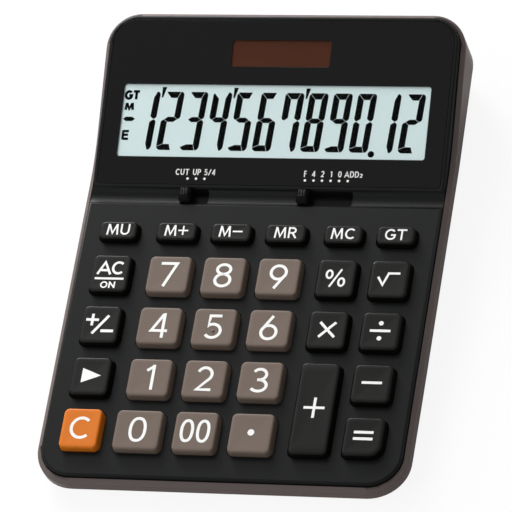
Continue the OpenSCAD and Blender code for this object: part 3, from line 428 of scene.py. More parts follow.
def key_tree():
    """Geometry nodes that wrap a grid round a key cap, ring by ring from underside to top."""
    start, size = new_tree("key_cap", {
        "Width": 14.5, "Depth": 13.9, "Flare X": KEY_FLARE_X, "Flare Y": KEY_FLARE_Y,
        "Corner": KEY_CORNER, "Right Corner": KEY_CORNER, "Height": KEY_HEIGHT,
        "Edge": KEY_EDGE, "Dish": KEY_DISH, "Wall": KEY_WALL})
    flare_x, flare_y, height, edge = (size[n] for n in ("Flare X", "Flare Y", "Height", "Edge"))

    # Rings: outset sideways, outset lengthways, height, share of the ring's full size
    inner = -1 * size["Wall"] - KEY_INSIDE
    over_x, over_y = flare_x + KEY_FLANGE_OVER, flare_y + KEY_FLANGE_OVER
    bottom = KEY_FLANGE_TOP - KEY_FLANGE_THICK
    ceiling = height - size["Wall"]
    rings = [(inner, inner, ceiling, 0.0), (inner, inner, ceiling, 1.0),
             (inner, inner, bottom, 1.0), (over_x, over_y, bottom, 1.0),
             (over_x, over_y, KEY_FLANGE_TOP, 1.0), (flare_x, flare_y, KEY_FLANGE_TOP, 1.0),
             (flare_x, flare_y, 0.0, 1.0)]
    for step in range(EDGE_STEPS + 1):
        turn = math.pi / 2 * step / EDGE_STEPS
        out = -(1 - math.cos(turn)) * edge + KEY_SWELL * (1 - step / EDGE_STEPS)
        rings.append((out, out, height - edge * (1 - math.sin(turn)), 1.0))
    for share in DISH_RINGS:
        rings.append((-1 * edge, -1 * edge, height - size["Dish"] * (1 - share * share), share))

    around = 4 * (CORNER_STEPS + 1)
    grid, ring, along = ring_grid(start, rings, around)
    along = along - around * start.math("GREATER_THAN", along, around - 0.5)
    corner = start.math("FLOOR", (along + 0.5) / (CORNER_STEPS + 1))
    step = along - corner * (CORNER_STEPS + 1)
    middle = (corner + 2.5) * (math.pi / 2)
    angle = (corner + 2 + step / CORNER_STEPS) * (math.pi / 2)
    out_x, out_y, level, share = (choose(ring, [r[i] for r in rings]) for i in range(4))
    front_right = start.math("COMPARE", corner, 1.0, 0.5)
    radius = size["Corner"] + front_right * (size["Right Corner"] - size["Corner"])
    radius = start.math("MAXIMUM", radius + (out_x + out_y) / 2, 0.1)
    half_x, half_y = size["Width"] / 2 + out_x, size["Depth"] / 2 + out_y
    side = math.sqrt(2)
    x = (start.math("COSINE", middle) * side * (half_x - radius)
         + radius * start.math("COSINE", angle)) * share
    y = (start.math("SINE", middle) * side * (half_y - radius)
         + radius * start.math("SINE", angle)) * share
    return end_tree(start, wrapped(start, grid, x, y, level), size["Finish"])


def baked(carrier):
    """The plain mesh that an object's modifiers or curve make. The object itself goes."""
    scene_objects.link(carrier)
    mesh = bpy.data.meshes.new_from_object(
        carrier.evaluated_get(bpy.context.evaluated_depsgraph_get()))
    bpy.data.objects.remove(carrier)
    return mesh


def grown(name, tree, values, where, points=()):
    """Runs a geometry node tree with its named inputs set, and gives the plain mesh in place."""
    carrier = bpy.data.objects.new(name, bpy.data.meshes.new(name))
    carrier.data.from_pydata(points, [], [])
    growth = carrier.modifiers.new("growth", "NODES")
    growth.node_group = tree
    for entry in tree.interface.items_tree:
        if entry.in_out == "INPUT" and entry.name in values:
            growth[entry.identifier] = values[entry.name]
    mesh = baked(carrier)
    mesh.transform(where)
    return reworked(mesh, lambda work: bmesh.ops.recalc_face_normals(work, faces=work.faces))


def with_finger_dot(mesh, middle):
    """Adds the small raised dot by which a finger finds the middle key without looking."""
    place = deck @ Matrix.Translation(middle + FINGER_DOT_PLACE)
    return reworked(mesh, lambda work: bmesh.ops.create_uvsphere(
        work, u_segments=20, v_segments=10, radius=1,
        matrix=place @ Matrix.Diagonal((*FINGER_DOT_SIZE, 1))))


key_taupe = moulded("key_taupe", "#6f6259", 0.42, grain=0.2, depth=0.005, cloud=14, spread=0.04,
                    **{SPECULAR: 0.12})
key_black = moulded("key_black", "#0b0b09", 0.33, grain=0.2, depth=0.004, cloud=14, spread=0.05,
                    **{SPECULAR: 0.1})
key_orange = moulded("key_orange", "#d4731f", 0.4, grain=0.2, depth=0.005, cloud=14, spread=0.03,
                     **{SPECULAR: 0.12})
DIGIT_KEYS = ["key_" + name for name in "7 8 9 4 5 6 1 2 3 0 00 point".split()]
FRONT_KEYS = ["key_c", "key_0", "key_00", "key_point"]
keys = [body for body in frame["bodies"] if body.startswith("key_")]
key_places = {}
key_sizes = {}
cap_tree = key_tree()
for name in keys:
    low, high = box_in(deck, cad_points(name))
    flare_y = FRONT_KEY_FLARE_Y if name in FRONT_KEYS else KEY_FLARE_Y
    key_places[name] = Vector(((low.x + high.x) / 2, (low.y + high.y) / 2, 0))
    key_sizes[name] = (high.x - low.x - 2 * (KEY_FLARE_X + KEY_FLANGE_OVER),
                       high.y - low.y - 2 * (flare_y + KEY_FLANGE_OVER))
    paint, slot = key_black, "black_key"
    if name in DIGIT_KEYS:
        paint, slot = key_taupe, "taupe_key"
    if name == "key_c":
        paint, slot = key_orange, "orange_key"
    corner = EQUALS_CORNER if name == "key_equals" else KEY_CORNER
    wall = SMALL_KEY_WALL if key_sizes[name][1] < SMALL_KEY_DEPTH else KEY_WALL
    mesh = grown(name + "_cap", cap_tree,
                 {"Width": key_sizes[name][0], "Depth": key_sizes[name][1], "Flare Y": flare_y,
                  "Right Corner": corner, "Wall": wall, "Finish": paint},
                 deck @ Matrix.Translation(key_places[name]))
    if name == "key_5":
        mesh = with_finger_dot(mesh, key_places[name])
    mesh.shade_smooth()
    mesh.set_sharp_from_angle(angle=math.radians(50))
    cap = add_piece(name + "_cap", mesh, name, paint, slot)
    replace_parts(cap, name)

# ---------------------------- key legends
# White legends are printed on the caps in one even line. Each is a thin film of ink that
# follows the dish of its cap.

INK = 0.03
MITRE_LIMIT = 1.9
LOOP_STEPS = 40


def arc(x, y, rx, ry, start, end, steps=20, square=2.0):
    """Points on an ellipse from a start to an end angle; square above 2 fills its corners."""
    points = []
    for i in range(steps + 1):
        a = math.radians(start + (end - start) * i / steps)
        c, s = math.cos(a), math.sin(a)
        points.append((x + rx * math.copysign(abs(c) ** (2 / square), c),
                       y + ry * math.copysign(abs(s) ** (2 / square), s)))
    return points


def loop(x, y, rx, ry, square=2.0):
    """Points round a whole ellipse."""
    return arc(x, y, rx, ry, 0, 360, LOOP_STEPS, square)


# Each glyph: width over height of its centre lines, then its strokes in a unit square
STEM = [(0, -0.1), (0, 1.1)]
GLYPHS = {
    "0": (0.62, [loop(0.5, 0.5, 0.5, 0.5, 2.3)]),
    "1": (0.28, [[(0, 0.8), (0.93, 0.99)], [(1, 1.07), (1, -0.07)]]),
    "2": (0.6, [arc(0.49, 0.7, 0.49, 0.3, 158, -36) + [(0.04, 0), (1.05, 0)]]),
    "3": (0.6, [arc(0.44, 0.76, 0.46, 0.24, 150, -84), arc(0.44, 0.26, 0.56, 0.26, 86, -148),
                [(0.3, 0.52), (0.5, 0.52)]]),
    "4": (0.68, [[(0.72, 1.02), (0.06, 0.26), (1.06, 0.26)], [(0.77, 1.07), (0.77, -0.07)]]),
    "5": (0.6, [[(0.98, 1), (0.17, 1), (0.12, 0.56)] + arc(0.44, 0.31, 0.56, 0.31, 124, -146)]),
    "6": (0.64, [loop(0.5, 0.31, 0.5, 0.31), [(0.68, 1.06), (0.06, 0.44)]]),
    "7": (0.62, [[(-0.1, 1), (1, 1), (0.24, -0.07)]]),
    "8": (0.64, [loop(0.5, 0.78, 0.44, 0.22), loop(0.5, 0.28, 0.5, 0.28)]),
    "9": (0.64, [loop(0.5, 0.69, 0.5, 0.31), [(0.32, -0.06), (0.94, 0.56)]]),
    "A": (0.93, [[(-0.08, -0.1), (0.5, 1.0), (1.08, -0.1)], [(0.2, 0.27), (0.8, 0.27)]]),
    "C": (0.82, [arc(0.57, 0.5, 0.57, 0.5, 46, 314)]),
    "D": (0.8, [STEM, [(0, 1), (0.4, 1)] + arc(0.4, 0.5, 0.6, 0.5, 90, -90) + [(0, 0)]]),
    "E": (0.6, [STEM, [(0, 1), (1, 1)], [(0, 0.52), (0.9, 0.52)], [(0, 0), (1, 0)]]),
    "F": (0.5, [STEM, [(0, 1), (1, 1)], [(0, 0.52), (0.88, 0.52)]]),
    "G": (0.9, [arc(0.53, 0.5, 0.53, 0.5, 44, 322) + [(1, 0.45), (0.56, 0.45)]]),
    "M": (0.98, [[(-0.02, -0.1), (0.09, 1.08)], [(0.12, 1.02), (0.5, 0.06), (0.88, 1.02)],
                 [(0.91, 1.08), (1.02, -0.1)]]),
    "N": (0.85, [STEM, [(0.02, 0.98), (0.98, 0.02)], [(1, -0.1), (1, 1.1)]]),
    "O": (1.0, [loop(0.5, 0.5, 0.5, 0.5)]),
    "P": (0.6, [STEM, [(0, 1), (0.5, 1)] + arc(0.5, 0.73, 0.5, 0.27, 90, -90) + [(0, 0.46)]]),
    "R": (0.66, [STEM, [(0, 1), (0.5, 1)] + arc(0.5, 0.74, 0.45, 0.26, 90, -90) + [(0, 0.48)],
                 [(0.5, 0.48), (1.08, -0.1)]]),
    "T": (0.8, [[(-0.1, 1), (1.1, 1)], [(0.5, 1), (0.5, -0.1)]]),
    "U": (0.76, [[(0, 1.1)] + arc(0.5, 0.38, 0.5, 0.38, 180, 360) + [(1, 1.1)]]),
    "/": (0.5, [[(-0.1, -0.1), (1.1, 1.1)]]),
}


class Print:
    """Flat ink in a frame's own millimetres, laid on a surface whose height is given."""

    def __init__(self, surface):
        self.surface = surface
        self.work = bmesh.new()

    def outline(self, points):
        """Fills one outline with ink of a little thickness."""
        low, high = ([self.work.verts.new((x, y, self.surface(x, y) + z)) for x, y in points]
                     for z in (-INK, INK))
        self.work.faces.new(high)
        self.work.faces.new(low[::-1])
        for i in range(len(points)):
            j = (i + 1) % len(points)
            self.work.faces.new((low[i], low[j], high[j], high[i]))

    def stroke(self, points, width):
        """Ink line of even width along points, mitred at its corners."""
        closed = (Vector(points[0]) - Vector(points[-1])).length < width * 0.05
        line = [Vector(p) for p in (points[:-1] if closed else points)]
        count = len(line)
        sides = []
        for i, p in enumerate(line):
            before = line[i - 1] if closed or i > 0 else None
            after = line[(i + 1) % count] if closed or i < count - 1 else None
            ways = [(b - a).normalized() for a, b in ((before, p), (p, after)) if a and b]
            normals = [Vector((-w.y, w.x)) for w in ways]
            across = sum(normals, Vector((0, 0))).normalized()
            reach = min(1 / max(across.dot(normals[0]), 0.01), MITRE_LIMIT)
            sides.append((p + across * reach * width / 2, p - across * reach * width / 2))
        spans = count if closed else count - 1
        verts = {}

        def corner(index, side, z):
            key = (index % count, side, z)
            if key not in verts:
                x, y = sides[index % count][side]
                verts[key] = self.work.verts.new((x, y, self.surface(x, y) + z))
            return verts[key]

        for i in range(spans):
            a, b, c, d = ((i, 0), (i + 1, 0), (i + 1, 1), (i, 1))
            self.work.faces.new([corner(*q, INK) for q in (d, c, b, a)])
            self.work.faces.new([corner(*q, -INK) for q in (a, b, c, d)])
            for near, far in ((a, b), (c, d)):
                self.work.faces.new((corner(*near, INK), corner(*far, INK),
                                     corner(*far, -INK), corner(*near, -INK)))
        if not closed:
            for end, (left, right) in ((0, (0, 1)), (count - 1, (1, 0))):
                self.work.faces.new((corner(end, left, INK), corner(end, left, -INK),
                                     corner(end, right, -INK), corner(end, right, INK)))

    def write(self, text, x, y, height, width, gap=0.2, squeeze=1.0):
        """Centres a line of glyphs at x and y. Height is that of the capitals, ink included."""
        tall = height - width
        sizes = [GLYPHS[letter][0] * tall * squeeze + width for letter in text]
        step = gap * height
        left = x - (sum(sizes) + step * (len(text) - 1)) / 2
        for letter, size in zip(text, sizes):
            wide = size - width
            for stroke in GLYPHS[letter][1]:
                self.stroke([(left + width / 2 + px * wide, y + (py - 0.5) * tall)
                             for px, py in stroke], width)
            left += size + step

    def dot(self, x, y, diameter, steps=24):
        """A round spot of ink."""
        self.outline(arc(x, y, diameter / 2, diameter / 2, 0, 360 - 360 / steps, steps - 1))

    def mesh(self, name, where):
        """The printed ink as a mesh in its place."""
        made = bpy.data.meshes.new(name)
        bmesh.ops.recalc_face_normals(self.work, faces=self.work.faces)
        self.work.to_mesh(made)
        self.work.free()
        made.transform(where)
        return made


white_ink = material("white_ink", lambda place: {
    "Base Color": mix(noise(place, 0.3), rgb("#e9e9e6"), rgb("#f7f7f5")),
    "Roughness": 0.45 + noise(place, 0.15) * 0.1,
    "Height": noise(place, 0.1, 1), "Depth": 0.004})

DIGIT_HEIGHT, DIGIT_LINE = 9.3, 1.05
CAP_HEIGHT, CAP_LINE = 4.15, 0.62
CAP_GAP, CLOSE_GAP = 0.17, 0.08
CAP_Y, M_X = 0.25, -2.05
# Words: the text, its middle, its height and line, and any gap and squeeze
WORDS = {
    "key_gt": [("GT", 0, CAP_Y, CAP_HEIGHT, CAP_LINE, CLOSE_GAP)],
    "key_ac": [("AC", 0, 2.1, 5.1, 0.85, 0.03), ("ON", -0.15, -4.5, 2.6, 0.5, 0.15)],
    "key_c": [("C", -0.2, 0.1, 8.4, DIGIT_LINE)],
    "key_00": [("00", 0, 0.2, 8.6, DIGIT_LINE, 0.1, 0.8)],
}
for word in ("MU", "MR", "MC"):
    WORDS["key_" + word.lower()] = [(word, 0, CAP_Y, CAP_HEIGHT, CAP_LINE, CAP_GAP)]
for name in ("key_m_plus", "key_m_minus"):
    WORDS[name] = [("M", M_X, CAP_Y, CAP_HEIGHT, CAP_LINE)]
for digit in "0123456789":
    WORDS["key_" + digit] = [(digit, 0, 0.1, DIGIT_HEIGHT, DIGIT_LINE)]
# Signs: the points of each line, and its width
MINUS_SIGN = ([(0.6, 0.3), (4.1, 0.3)], 0.55)
SIGNS = {
    "key_m_plus": [MINUS_SIGN, ([(2.35, 2.05), (2.35, -1.45)], 0.55)],
    "key_m_minus": [MINUS_SIGN],
    "key_ac": [([(-5.15, -2.1), (5.15, -2.1)], 0.8)],
    "key_percent": [(loop(-2.4, 1.4, 1.0, 1.45), 0.75), (loop(2.05, -1.5, 1.0, 1.45), 0.75),
                    ([(-1.95, -3.4), (1.7, 3.4)], 0.7)],
    "key_root": [([(-3.75, 0.8), (-1.85, -2.2), (-0.2, 2.2), (3.75, 2.2)], 0.82)],
    "key_sign": [([(-5.3, 1.7), (-0.8, 1.7)], 0.95), ([(-3.05, 3.95), (-3.05, -0.55)], 0.95),
                 ([(-2.5, -3.6), (2.6, 3.4)], 1.0), ([(0.45, -2.5), (4.95, -2.5)], 1.05)],
    "key_multiply": [([(-2.75, -2.75), (2.75, 2.85)], 0.95),
                     ([(-2.75, 2.85), (2.75, -2.75)], 0.95)],
    "key_divide": [([(-3.6, 0.1), (3.5, 0.1)], 0.95)],
    "key_plus": [([(-3.65, 0.3), (3.65, 0.3)], 0.95), ([(0, 4.1), (0, -3.5)], 0.95)],
    "key_minus": [([(-3.5, 0.3), (3.5, 0.3)], 0.95)],
    "key_equals": [([(-3.35, y), (3.35, y)], 1.0) for y in (-0.8, 1.6)],
}
# Dots: their middle and diameter
DOTS = {"key_divide": [(-0.05, 2.95, 1.65), (-0.05, -2.75, 1.65)], "key_point": [(0, 0.3, 2.35)]}
ARROWS = {"key_right_shift": [(-3.05, -2.6), (3.75, 0.2), (-3.05, 2.9)]}


def dished(width, depth):
    """Height of the top of a cap at a place, for the size of its flat."""
    def surface(x, y):
        outward = min(1, max(abs(x) / width, abs(y) / depth))
        return KEY_HEIGHT - KEY_DISH * (1 - outward ** 2)
    return surface


for name, place in key_places.items():
    ink = Print(dished(*(size / 2 - KEY_EDGE for size in key_sizes[name])))
    for draw, marks in ((ink.write, WORDS), (ink.stroke, SIGNS), (ink.dot, DOTS)):
        for mark in marks.get(name, ()):
            draw(*mark)
    if name in ARROWS:
        ink.outline(ARROWS[name])
    mesh = ink.mesh(name + "_legend", deck @ Matrix.Translation(place))
    add_piece(name + "_legend", mesh, name, white_ink)

# ---------------------------- slide switches
# Each switch is a small black ABS knob moulded on a slider plate, which runs in rails under
# the cove. A paler stroke along each rib on its top is a painted highlight, and a brass brush
# under it makes contact.

knob_black = moulded("knob_black", "#0d0d0d", 0.4, grain=0.15, depth=0.004, spread=0.05,
                     **{SPECULAR: 0.04})
# Paler black for the painted highlight along the ridge of each rib on the knob's top
knob_worn = moulded("knob_worn", "#2c2c2b", 0.35, grain=0.1, depth=0.003, cloud=1.5, spread=0.2,
                    **{SPECULAR: 0.1})
brush_brass = moulded("brush_brass", "#b8923f", 0.3, grain=0.4, depth=0.003, cloud=3, Metallic=1.0)
KNOB_TOP = 1.85
RIB_LEFT, RIB_MIDDLE, RIB_RIGHT = -1.1, -0.1, 0.8
RIB_BACK, RIB_FRONT, RIB_WIDTH = 1.8, -0.3, 0.2
for switch in ("round_switch", "decimal_switch"):
    smooth_copy(switch + "_knob", switch + "_button", switch, knob_black, "black_knob", 40)
    low, high = box_in(deck, cad_points(switch + "_knob"))
    # Painted highlight: thin pale strokes of ink on the knob's top, along the ridge of each rib
    rib_highlights = Print(lambda x, y: KNOB_TOP)
    rib_highlights.stroke([(RIB_LEFT, RIB_BACK), (RIB_LEFT, RIB_FRONT),
                 (RIB_MIDDLE, RIB_FRONT), (RIB_MIDDLE, RIB_BACK)], RIB_WIDTH)
    rib_highlights.stroke([(RIB_RIGHT, RIB_BACK), (RIB_RIGHT, RIB_FRONT)], RIB_WIDTH)
    middle = Matrix.Translation(((low.x + high.x) / 2, (low.y + high.y) / 2, 0))
    mesh = rib_highlights.mesh(switch + "_ribs", deck @ middle)
    add_piece(switch + "_ribs", mesh, switch, knob_worn, "black_knob")
    dress(switch + "_brush", brush_brass)

# ---------------------------- rubber keypad
# One sheet of grey silicone lies under all the caps. It is pressed with a dome under each key,
# and its matt skin holds a little dust.

silicone_grey = moulded("silicone_grey", "#85888a", 0.7, grain=0.5, depth=0.01, cloud=12)
dress("rubber_keypad", silicone_grey)

# ---------------------------- main board
# The board is glass-fibre laminate under green lacquer, with copper tracks that show through
# as paler lines. The chip hides under a drop of black epoxy, beside a sleeved capacitor.

TRACK_PITCH, TRACK_BARE = 0.9, 0.55
TRACK_RUN, TRACK_END = 17, 13
HOP_PATCH, HOP_LEVELS, HOP_STEP = 14, 5, 1.7


def board_look(place):
    """Green lacquer over tracks that run lengthways and hop sideways."""
    hop = place.math("FLOOR", noise(place, HOP_PATCH, 0) * HOP_LEVELS) * HOP_STEP
    across = place.math("PINGPONG", place.axis(0) + hop, TRACK_PITCH)
    along = place.math("PINGPONG", place.axis(1), TRACK_RUN)
    track = (place.math("GREATER_THAN", across, TRACK_BARE)
             * place.math("LESS_THAN", along, TRACK_END))
    weave = noise(place, 0.6)
    green = mix(weave, rgb("#2f5a38"), rgb("#37653f"))
    return {"Base Color": mix(track, green, rgb("#568a54")),
            "Roughness": 0.3 + weave * 0.1, "Height": track + weave * 0.1, "Depth": 0.02}


lacquered_board = material("lacquered_board", board_look)
epoxy_black = moulded("epoxy_black", "#0d0d0d", 0.12, grain=1.5, depth=0.03, cloud=4)
sleeve_blue = moulded("sleeve_blue", "#1f3557", 0.3, grain=0.8, depth=0.01, cloud=2)
dress("main_board", lacquered_board)
dress("chip_cover", epoxy_black)
dress("capacitor", sleeve_blue)

# Pan head screws are cold-headed steel with a zinc skin and a cross recess
TURN_STEPS = 36
CROWN_TURNS, CROWN = (0.35, 0.6, 0.8, 0.93, 1.0), 0.7
RECESS_ARM, RECESS_BAR = 0.56, 0.17
CASE_SCREW = {"Head": 4.6, "Head Height": 1.6, "Shank": 2.5, "Length": 7.0}
BOARD_SCREW = {"Head": 3.2, "Head Height": 1.0, "Shank": 1.6, "Length": 4.4}
screw_zinc = moulded("screw_zinc", "#b9bcc0", 0.3, grain=0.3, depth=0.004, cloud=1.2, spread=0.1,
                     Metallic=1.0)


def turned_tree(name, sizes, profile, recess=None):
    """Geometry nodes that turn a profile about the vertical and set a copy on each vertex."""
    start, size = new_tree(name, sizes)
    rings = profile(size)
    grid, ring, step = ring_grid(start, rings, TURN_STEPS)
    angle = step * (2 * math.pi / TURN_STEPS)
    radius, level = (choose(ring, [r[i] for r in rings]) for i in (0, 1))
    part = wrapped(start, grid, radius * start.math("COSINE", angle),
                   radius * start.math("SINE", angle), level)
    if recess:
        cutter = start.make("GeometryNodeJoinGeometry")
        for span in recess(size):
            corner = start.make("ShaderNodeCombineXYZ", None, dict(zip("XYZ", span)))
            block = start.make("GeometryNodeMeshCube", None, {"Size": corner})
            start.plug(cutter.socket.node.inputs[0], block)
        part = start.make("GeometryNodeMeshBoolean",
                          {"operation": "DIFFERENCE", "solver": "EXACT"},
                          {"Mesh 1": part, "Mesh 2": cutter, "Self Intersection": True})
    copies = start.make("GeometryNodeInstanceOnPoints", None,
                        {"Points": size["Places"], "Instance": part})
    return end_tree(start, copies, size["Finish"])


def screw_profile(size):
    """Rings of a pan head screw that stands on its head, as radius and height."""
    head, shank = size["Head"] / 2, size["Shank"] / 2
    rings = [(0.0, 0.0)]
    for turn in CROWN_TURNS:
        rings.append((head * turn, size["Head Height"] * (1 - math.sqrt(1 - turn ** 2)) * CROWN))
    rings += [(head, size["Head Height"]), (shank, size["Head Height"]),
              (shank, size["Length"] - shank), (shank * 0.5, size["Length"]), (0.0, size["Length"])]
    return rings


def screw_recess(size):
    """The two bars of the cross in a screw's head."""
    arm, bar = size["Head"] * RECESS_ARM, size["Head"] * RECESS_BAR
    depth = size["Head Height"]
    return [(arm, bar, depth), (bar, arm, depth)]


screw_tree = turned_tree("pan_screw", CASE_SCREW, screw_profile, screw_recess)


def solids(frame_matrix, node):
    """Boxes of the separate solids of a CAD node, in a frame of millimetres."""
    work = bmesh.new()
    work.from_mesh(merged(node))
    left = set(work.verts)
    boxes = []
    while left:
        group, edge = [], [left.pop()]
        while edge:
            vert = edge.pop()
            group.append(vert.co.copy())
            near = {e.other_vert(vert) for e in vert.link_edges} & left
            left -= near
            edge += near
        boxes.append(box_in(frame_matrix, group))
    work.free()
    return sorted(boxes, key=lambda box: (box[0].y, box[0].x))


def turned(name, tree, frame_matrix, node, values, finish, slot):
    """One turned part at each solid of a CAD node, which the parts stand for."""
    places = [((low.x + high.x) / 2, (low.y + high.y) / 2, low.z)
              for low, high in solids(frame_matrix, node)]
    mesh = grown(name, tree, {**values, "Finish": finish}, frame_matrix, places)
    mesh.shade_smooth()
    mesh.set_sharp_from_angle(angle=math.radians(35))
    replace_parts(add_piece(name, mesh, "housing", finish, slot), node)


turned("board_screw_set", screw_tree, deck, "board_screws", BOARD_SCREW, screw_zinc, "screw_steel")

# ---------------------------- display cell
# The display is two glass sheets over a pale reflector, in a grey tray that hangs from pegs.
# The front sheet reaches up to its window. Twelve digits are etched electrodes that turn
# dark, and an amber ribbon feeds them.

LEAD_PITCH, LEAD_BARE = 0.5, 0.28
tray_grey = moulded("tray_grey", "#3a3c3e", 0.55)
dress("lcd_holder", tray_grey)


def ribbon_look(place):
    """Amber film with fine dark conductors side by side."""
    across = place.math("PINGPONG", place.axis(0), LEAD_PITCH)
    line = place.math("GREATER_THAN", across, LEAD_BARE)
    film = mix(noise(place, 4), rgb("#b97d2e"), rgb("#c98f3c"))
    return {"Base Color": mix(line, film, rgb("#5b3a17")),
            "Roughness": 0.25 + noise(place, 1) * 0.1, "Height": line, "Depth": 0.01}


dress("lcd_ribbon", material("ribbon_amber", ribbon_look))
display_pale = material("display_pale", lambda place: {
    "Base Color": mix(noise(place, 22), rgb("#e0f6f6"), rgb("#e8fafa")),
    "Roughness": 0.4 + noise(place, 0.25) * 0.08,
    "Height": noise(place, 0.12), "Depth": 0.002}, **{SPECULAR: 0.3})
dress("lcd_glass", display_pale)


def corners(left, front, right, back, radii, steps=6):
    """Rectangle with its front left, front right, back right and back left corner rounded."""
    points = []
    for turn, (x, y, dx, dy) in enumerate(((left, front, 1, 1), (right, front, -1, 1),
                                           (right, back, -1, -1), (left, back, 1, -1))):
        r = radii[turn]
        points += arc(x + dx * r, y + dy * r, r, r, 180 + 90 * turn, 270 + 90 * turn, steps)
    return points


def plate(name, outlines, thick, edge):
    """Flat plate, top at z = 0, with the later outlines cut out of the first."""
    curve = bpy.data.curves.new(name, "CURVE")
    curve.dimensions, curve.fill_mode = "2D", "BOTH"
    curve.extrude, curve.offset = thick / 2 - edge, -edge
    curve.bevel_depth, curve.bevel_resolution = edge, 1
    for points in outlines:
        spline = curve.splines.new("POLY")
        spline.points.add(len(points) - 1)
        for point, (x, y) in zip(spline.points, points):
            point.co = (x, y, 0, 1)
        spline.use_cyclic_u = True
    mesh = baked(bpy.data.objects.new(name, curve))
    mesh.transform(Matrix.Translation((0, 0, -thick / 2)))

    def close(work):
        bmesh.ops.remove_doubles(work, verts=work.verts, dist=0.001)
        bmesh.ops.recalc_face_normals(work, faces=work.faces)
        for face in work.faces:
            face.smooth = abs(face.normal.z) < 0.999
    return reworked(mesh, close)


WINDOW_CORNER = 0.9
GLASS_EDGE = 0.05
GLASS_TOP, GLASS_THICK = -0.45, 2.3


def window(width, depth, x, y):
    """Outline of a rounded opening or glass about a middle on the panel."""
    return corners(x - width / 2, y - depth / 2, x + width / 2, y + depth / 2,
                   [WINDOW_CORNER] * 4)


def glass(name, size, top, thick, finish, slot):
    """A pane, given as a window is, whose top lies at a height on the panel."""
    mesh = plate(name, [window(*size)], thick, GLASS_EDGE)
    mesh.transform(panel @ Matrix.Translation((0, 0, top)))
    add_piece(name, mesh, "housing", finish, slot)


DISPLAY_GLASS = (110.4, 27.0, -0.2, 23.1)
glass("display_front_glass", DISPLAY_GLASS, GLASS_TOP, GLASS_THICK, display_pale, "display_cell")

DIGIT_WIDE, DIGIT_TALL, DIGIT_WAIST = 6.75, 21.3, 11.2
SEGMENT, WAIST_SEGMENT, SEGMENT_GAP = 2.25, 1.85, 0.08
DIGIT_LEAN = 0.073
DIGIT_STEP, FIRST_DIGIT_X, DIGIT_FOOT_Y = 8.61, -43.25, 12.56
LIT = {"0": "abcdef", "1": "bc", "2": "abdeg", "3": "abcdg", "4": "bcfg", "5": "acdfg",
       "6": "acdefg", "7": "abcf", "8": "abcdefg", "9": "abcdfg"}


def segment_outlines():
    """The seven electrodes of a digit. Its right edge is x = 0, its foot is y = 0."""
    w, h, m = -DIGIT_WIDE, DIGIT_TALL, DIGIT_WAIST
    t, n, g = SEGMENT, WAIST_SEGMENT / 2, SEGMENT_GAP
    return {
        "a": [(w + 0.75, h), (w + 0.45, h - 0.3), (w + t, h - t), (-t - g, h - t), (-1.3 - g, h)],
        "b": [(g - 1.3, h), (g - t, h - t), (-t, m + n + g), (-1, m + g), (-0.4, m + 0.35),
              (0, m + 0.95), (0, h - 1.1), (-0.25, h - 0.5), (-0.75, h - 0.08)],
        "c": [(-t, m - n - g), (-t, t), (g - 1.45, 0), (-0.95, 0.05), (-0.4, 0.4), (0, 1.3),
              (0, m - 0.95), (-0.4, m - 0.35), (-1, m - g)],
        "d": [(-t - g, t - g), (w + t, t - g), (w + 0.02, 1.3 - g), (w + 0.35, 0.55),
              (w + 1.2, 0), (-1.45 - g, 0)],
        "e": [(w, 1.3 + g), (w + t, t + g), (w + t, m - n - g), (w + 1, m - g), (w + 0.4, m - 0.35),
              (w, m - 0.95)],
        "f": [(w, m + 0.95), (w + 0.4, m + 0.35), (w + 1, m + g), (w + t, m + n + g),
              (w + t, h - t - 2 * g), (w + 0.4, h - 0.4), (w, h - 0.9)],
        "g": [(w + 1 + g, m), (w + t + g, m - n), (-t - g, m - n), (-1 - g, m), (-t - g, m + n),
              (w + t + g, m + n)],
    }


SHOWN = "123456789012"
THOUSANDS_LEFT, THOUSANDS_FOOT, THOUSANDS_TOP = FIRST_DIGIT_X + 1.97, 31.75, 35.55
electrodes = segment_outlines()
crystal = Print(lambda x, y: GLASS_TOP)
for place, digit in enumerate(SHOWN):
    right = FIRST_DIGIT_X + DIGIT_STEP * place
    for name in LIT[digit]:
        crystal.outline([(right + x + DIGIT_LEAN * y, DIGIT_FOOT_Y + y)
                         for x, y in electrodes[name]])
for group in range(3):
    left = THOUSANDS_LEFT + 3 * DIGIT_STEP * group
    crystal.outline([(left, THOUSANDS_FOOT), (left + 0.5, THOUSANDS_FOOT),
                     (left + 1.6, THOUSANDS_TOP), (left, THOUSANDS_TOP)])
# The decimal point, then the signs for a grand total, a memory, an error and a minus
crystal.dot(35.55, 12.05, 2.3)
crystal.write("GT", -51.95, 32.5, 3.6, 0.95, -0.05, 0.88)
crystal.write("M", -52.6, 28.35, 3.1, 0.9, 0.2, 1.15)
crystal.write("E", -52.75, 17.85, 3.7, 0.9, 0.2, 1.2)
crystal.outline([(-54.45, 23.75), (-53.35, 22.95), (-51.15, 22.95),
                 (-50.05, 23.75), (-51.15, 24.55), (-53.35, 24.55)])
crystal_dark = material("crystal_dark", lambda place: {
    "Base Color": mix(noise(place, 3), rgb("#050606"), rgb("#0a0c0c")),
    "Roughness": 0.45 + noise(place, 0.3) * 0.1}, **{SPECULAR: 0.0})
add_piece("display_segments", crystal.mesh("display_segments", panel), "housing", crystal_dark,
          "display_cell")

# ---------------------------- solar cell
# A brown amorphous silicon cell on glass lies under the panel's small window, and two leads
# take its current to the board.


def two_leads(name, split, left_colour, right_colour):
    """PVC jackets of two leads that lie on each side of a place along the x axis."""
    def look(place):
        cloud = noise(place, 2)
        side = place.math("GREATER_THAN", place.axis(0), split)
        jackets = mix(side, rgb(left_colour), rgb(right_colour))
        return {"Base Color": mix(cloud * 0.25, jackets, rgb("#777777")),
                "Roughness": 0.4 + cloud * 0.15, "Height": noise(place, 0.4), "Depth": 0.01}
    return material(name, look)


